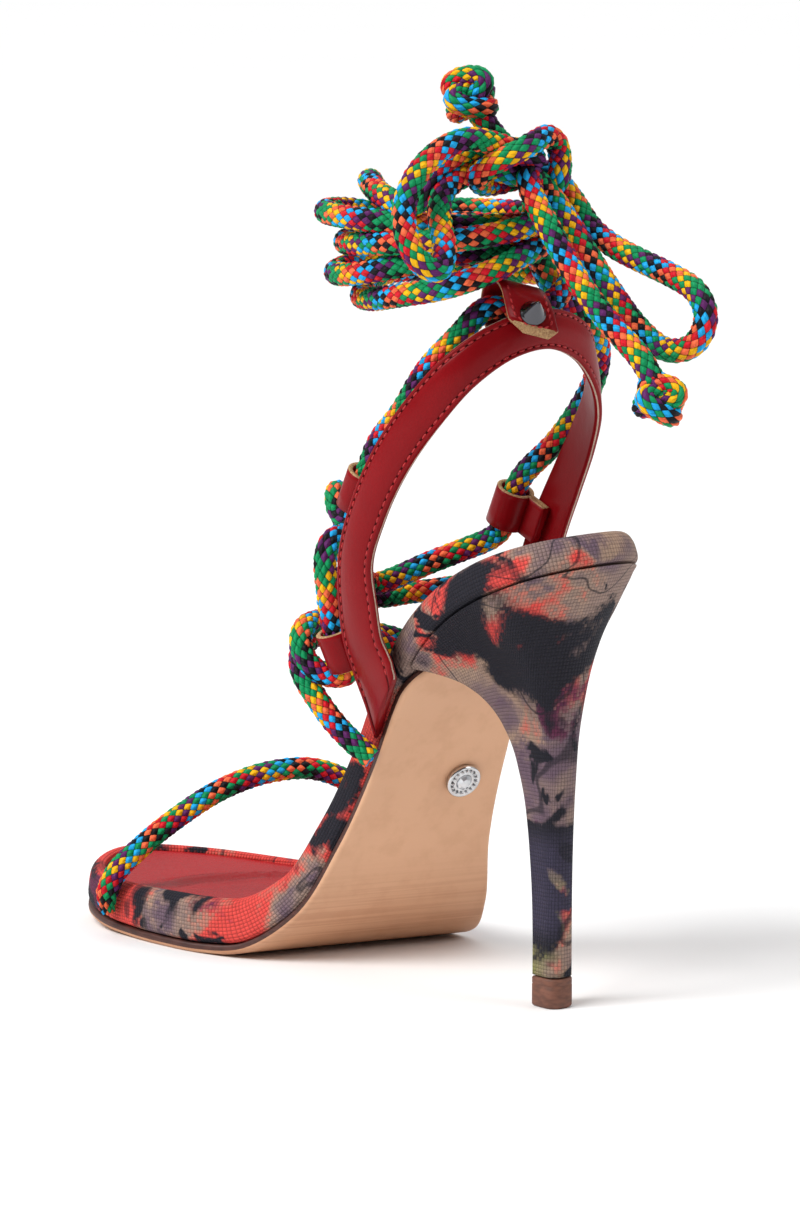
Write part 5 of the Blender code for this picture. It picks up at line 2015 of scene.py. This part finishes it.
@dataclass
class RopeWork:
    """Toe rope, the two laces, their bow knot and their end knots."""

    sling: AnkleSling
    looks: Wardrobe
    radius: float = 3.1
    through: float = 7.5
    beyond: float = 6.0
    pitch: float = 1.5
    knot_pitch: float = 1.0
    rounds: int = 5
    taper: int = 4
    end_turn_steps: int = 96
    tab_hold: tuple = (-6.3, 5.0)
    tab_steps: tuple = (-7.0, 0.0, 4.5)
    winding: Winding = field(default_factory=Winding)
    knot: tuple = (-4.0, 7.2, 217.4)

    def __post_init__(self) -> None:
        """Makes the braiding tool once."""
        self.tool = braid_tool()

    def keeper_points(self, name: str, beyond: bool = False) -> list[Vector]:
        """Places that carry a rope up through a keeper, and on above it."""
        centre, axis, _, _ = self.sling.keeper_frame(KEEPERS[name])
        steps = [-self.through, 0.0, self.through]
        if beyond:
            steps.append(self.through + self.beyond)
        return [centre + axis * step for step in steps]

    def rope(
        self, name: str, route: Sequence[Vector], ends: float = 1.0, scale: float = 1.0
    ) -> Object:
        """A braided rope along a route, its two ends drawn in by a factor."""
        radii = [scale] * len(route)
        for i in range(self.taper):
            drawn = ends + (1 - ends) * i / self.taper
            radii[i] *= drawn
            radii[-1 - i] *= drawn
        guide = guide_curve([route], radii)
        return self.tool.mesh(guide, name, Radius=self.radius * MM, Finish=self.looks.rope)

    def lace(
        self, name: str, points: Sequence[Point], nodes: Sequence[str]
    ) -> None:
        """One free lace, with its measured length logged.

        Args:
            name: Name of the piece.
            points: Its route.
            nodes: Solids that it stands for.
        """
        route = smooth_route([tuple(point) for point in points], self.pitch)
        route = relax(route, self.rounds)
        obj = show(self.rope(name, route), Slot.ROPE, *nodes)
        length = float(lengths(route)[-1]) * MM
        path = [tuple(place * MM) for place in route[::3]] + [tuple(route[-1] * MM)]
        LOG.info("%s: %.0f mm of rope", name, length / MM)

    def build_toe_rope(self) -> Object:
        """Rope over the toes, drawn in where it is lasted under the platform."""
        route = smooth_route(TOE_ROPE, self.pitch)
        return show(self.rope("toe_rope_braid", route, 0.6), Slot.ROPE, "toe_rope")

    def build_bow_knot(self) -> Object:
        """Rope laid slantwise over the middle of the bow, with a small loop beside it."""
        middle = Vector(self.knot)
        points = []
        for right, up, out in KNOT_TURN:
            points.append(tuple(middle + KNOT_RIGHT * right + KNOT_UP * up + KNOT_OUT * out))
        route = smooth_route(points, self.knot_pitch)
        return show(self.rope("bow_knot", route, 0.85, 0.97), Slot.ROPE, "lace_knot")

    def build_end_knot(self, knot: EndKnot) -> Object:
        """Overhand knot at a lace's end, drawn tight into a ball."""
        way = Vector(knot.axis).normalized()
        side, up = axes_of(way)
        wide, high, deep = knot.size
        route = []
        for i in range(self.end_turn_steps + 1):
            t = 2 * math.pi * i / self.end_turn_steps
            x, y = math.sin(t) + 2 * math.sin(2 * t), math.cos(t) - 2 * math.cos(2 * t)
            place = side * (x * wide) + up * (y * high) + way * (-math.sin(3 * t) * deep)
            route.append(Vector(knot.centre) + place)
        return show(self.rope(knot.name, route, scale=0.9), Slot.ROPE, knot.node)

    def build(self) -> None:
        """Makes all the rope."""
        self.build_toe_rope()
        knot = self.build_bow_knot()
        upper, lower = self.build_end_knot(UPPER_KNOT), self.build_end_knot(LOWER_KNOT)
        side = self.sling.tab_axes()[2]
        hold = self.sling.tab_place(*self.tab_hold)
        points = list(STRAND_P) + self.keeper_points("keeper_lateral_lower") + list(STRAND_P_BACK)
        points += self.keeper_points("keeper_medial_upper", True) + list(RISER_MEDIAL)
        points += [hold + side * step for step in self.tab_steps] + list(RISER_MEDIAL_END)
        points += self.winding.turns(40, 1015, 0, 1, (360, 720))
        points += list(KNOT_ENTRY_P) + list(LOOP_MEDIAL) + list(END_UPPER)
        solids = ("lace_crossings", "lace_riser_medial", "lace_loop_medial", "lace_end_upper")
        self.lace("lace_medial", points, solids)
        points = list(STRAND_Q) + self.keeper_points("keeper_medial_lower") + list(STRAND_Q_BACK)
        points += self.keeper_points("keeper_lateral_upper") + list(RISER_LATERAL)
        points += self.winding.turns(30, -695, 1, -1, (300,))
        points += list(KNOT_ENTRY_Q) + list(LOOP_BACK) + list(END_LOWER)
        solids = ("lace_wrap", "lace_riser_lateral", "lace_loop_back", "lace_end_lower")
        self.lace("lace_lateral", points, solids)


# Studio


class Lamp(NamedTuple):
    """A soft square light: its angles, distance and size in metres, and power."""

    name: str
    azimuth: float
    elevation: float
    distance: float
    size: float
    power: float


LAMPS = (
    Lamp("side", -110.0, 38.0, 1.6, 0.55, 7.0),
    Lamp("fill", 25.0, 35.0, 2.0, 0.8, 7.0),
)
WHITE = (1.0, 1.0, 1.0, 1.0)


def aim(
    name: str, data: bpy.types.ID, angles: tuple, target: Point = (0, 0, 0), distance: float = 0.0
) -> Object:
    """Puts a camera or a light in the scene, looking at a target.

    Args:
        name: Name of the object.
        data: The camera or the light.
        angles: Azimuth and elevation of its place in degrees.
        target: What it looks at.
        distance: How far from the target it stands.

    Returns:
        The object.
    """
    a, e = (math.radians(angle) for angle in angles)
    way = Vector((math.sin(a) * math.cos(e), -math.cos(a) * math.cos(e), math.sin(e)))
    obj = put_in_scene(name, data)
    obj.location = Vector(target) + way * distance
    obj.rotation_euler = way.to_track_quat("Z", "Y").to_euler()
    return obj


@dataclass
class Studio:
    """Pale floor, soft light and the camera at the photograph's angle."""

    azimuth: float = -42.0
    elevation: float = 8.5
    distance: float = 1.380
    target: tuple = (0.0, 0.061, 0.0995)
    lens: float = 153.7
    sensor: float = 36.0
    lit_place: tuple = (0, 0.06, 0.1)
    sun_angles: tuple = (-95.0, 50.0)
    sun_strength: float = 2.0
    sun_spread: float = 35.0
    overhead: float = 0.80
    horizon: float = 0.22
    dark_way: tuple = (-0.61, -0.68, 0.40)
    dark_share: float = 0.85
    floor_reach: float = 20000.0
    floor_tones: tuple = (0.895, 0.905)

    def build_floor(self) -> None:
        """Pale sweep that the sandal stands on."""
        made, bench, shader = new_material("studio_floor")
        cloud = bench.noise(own_place(bench), 2.0, 1.0)
        low, high = ((tone,) * 3 for tone in self.floor_tones)
        bench.feed(shader.inputs["Base Color"], bench.mix(cloud, low, high))
        shader.inputs["Roughness"].default_value = 0.9
        skin = Skin()
        reach = self.floor_reach
        skin.grid([[(-reach, y, 0.0), (reach, y, 0.0)] for y in (-reach, reach)])
        floor = skin.build("floor", (made,))
        if floor.data.polygons[0].normal.z < 0:
            floor.data.flip_normals()

    def add_lamp(self, lamp: Lamp) -> None:
        """A soft square light aimed at the sandal."""
        data = bpy.data.lights.new(lamp.name, "AREA")
        data.size = lamp.size
        data.energy = lamp.power
        aim(lamp.name, data, (lamp.azimuth, lamp.elevation), self.lit_place, lamp.distance)

    def add_sun(self) -> None:
        """An even key light over the whole floor, softened by its spread in degrees."""
        data = bpy.data.lights.new("key", "SUN")
        data.energy = self.sun_strength
        data.angle = math.radians(self.sun_spread)
        aim("key", data, self.sun_angles)

    def build_camera(self) -> None:
        """Camera fitted to the photograph."""
        data = bpy.data.cameras.new("camera")
        data.lens = self.lens
        data.sensor_width = self.sensor
        data.sensor_fit = "AUTO"
        angles = (self.azimuth, self.elevation)
        bpy.context.scene.camera = aim("camera", data, angles, self.target, self.distance)

    def build_world(self) -> None:
        """White surround, bright overhead, dim at the horizon and dark in front of the sandal."""
        world = bpy.data.worlds.new("surround")
        world.use_nodes = True
        bench = Bench(world.node_tree)
        ground = world.node_tree.nodes["Background"]
        ground.inputs["Color"].default_value = WHITE
        way = bench.node("ShaderNodeTexCoord").outputs["Generated"]
        rise = bench.step(bench.parts(way)[2], 0.0, 0.75)
        bright = bench.scaled(rise, self.overhead, self.horizon)
        facing = bench.node("ShaderNodeVectorMath", operation="DOT_PRODUCT")
        bench.feed(facing.inputs[0], way)
        facing.inputs[1].default_value = self.dark_way
        dark = bench.step(facing.outputs["Value"], 0.35, 0.8)
        dim = bench.scaled(dark, -self.dark_share, 1.0)
        bench.feed(ground.inputs["Strength"], bench.times(bright, dim))
        bpy.context.scene.world = world
        bpy.context.scene.view_settings.view_transform = "Standard"

    def build(self) -> None:
        """Makes the camera, the lights and the floor."""
        self.build_camera()
        self.build_world()
        self.add_sun()
        for lamp in LAMPS:
            self.add_lamp(lamp)
        self.build_floor()


def main() -> None:
    """Builds the studio, the ropes and then the rest of the sandal."""
    logging.basicConfig(level=logging.INFO, format="%(message)s", stream=sys.stdout)
    Studio().build()
    looks = Wardrobe()
    sling = AnkleSling(looks)
    RopeWork(sling, looks).build()
    sling.build()
    last = Last()
    Sole(last, looks).build()
    Heel(last, looks).build()


if __name__ == "__main__":
    main()
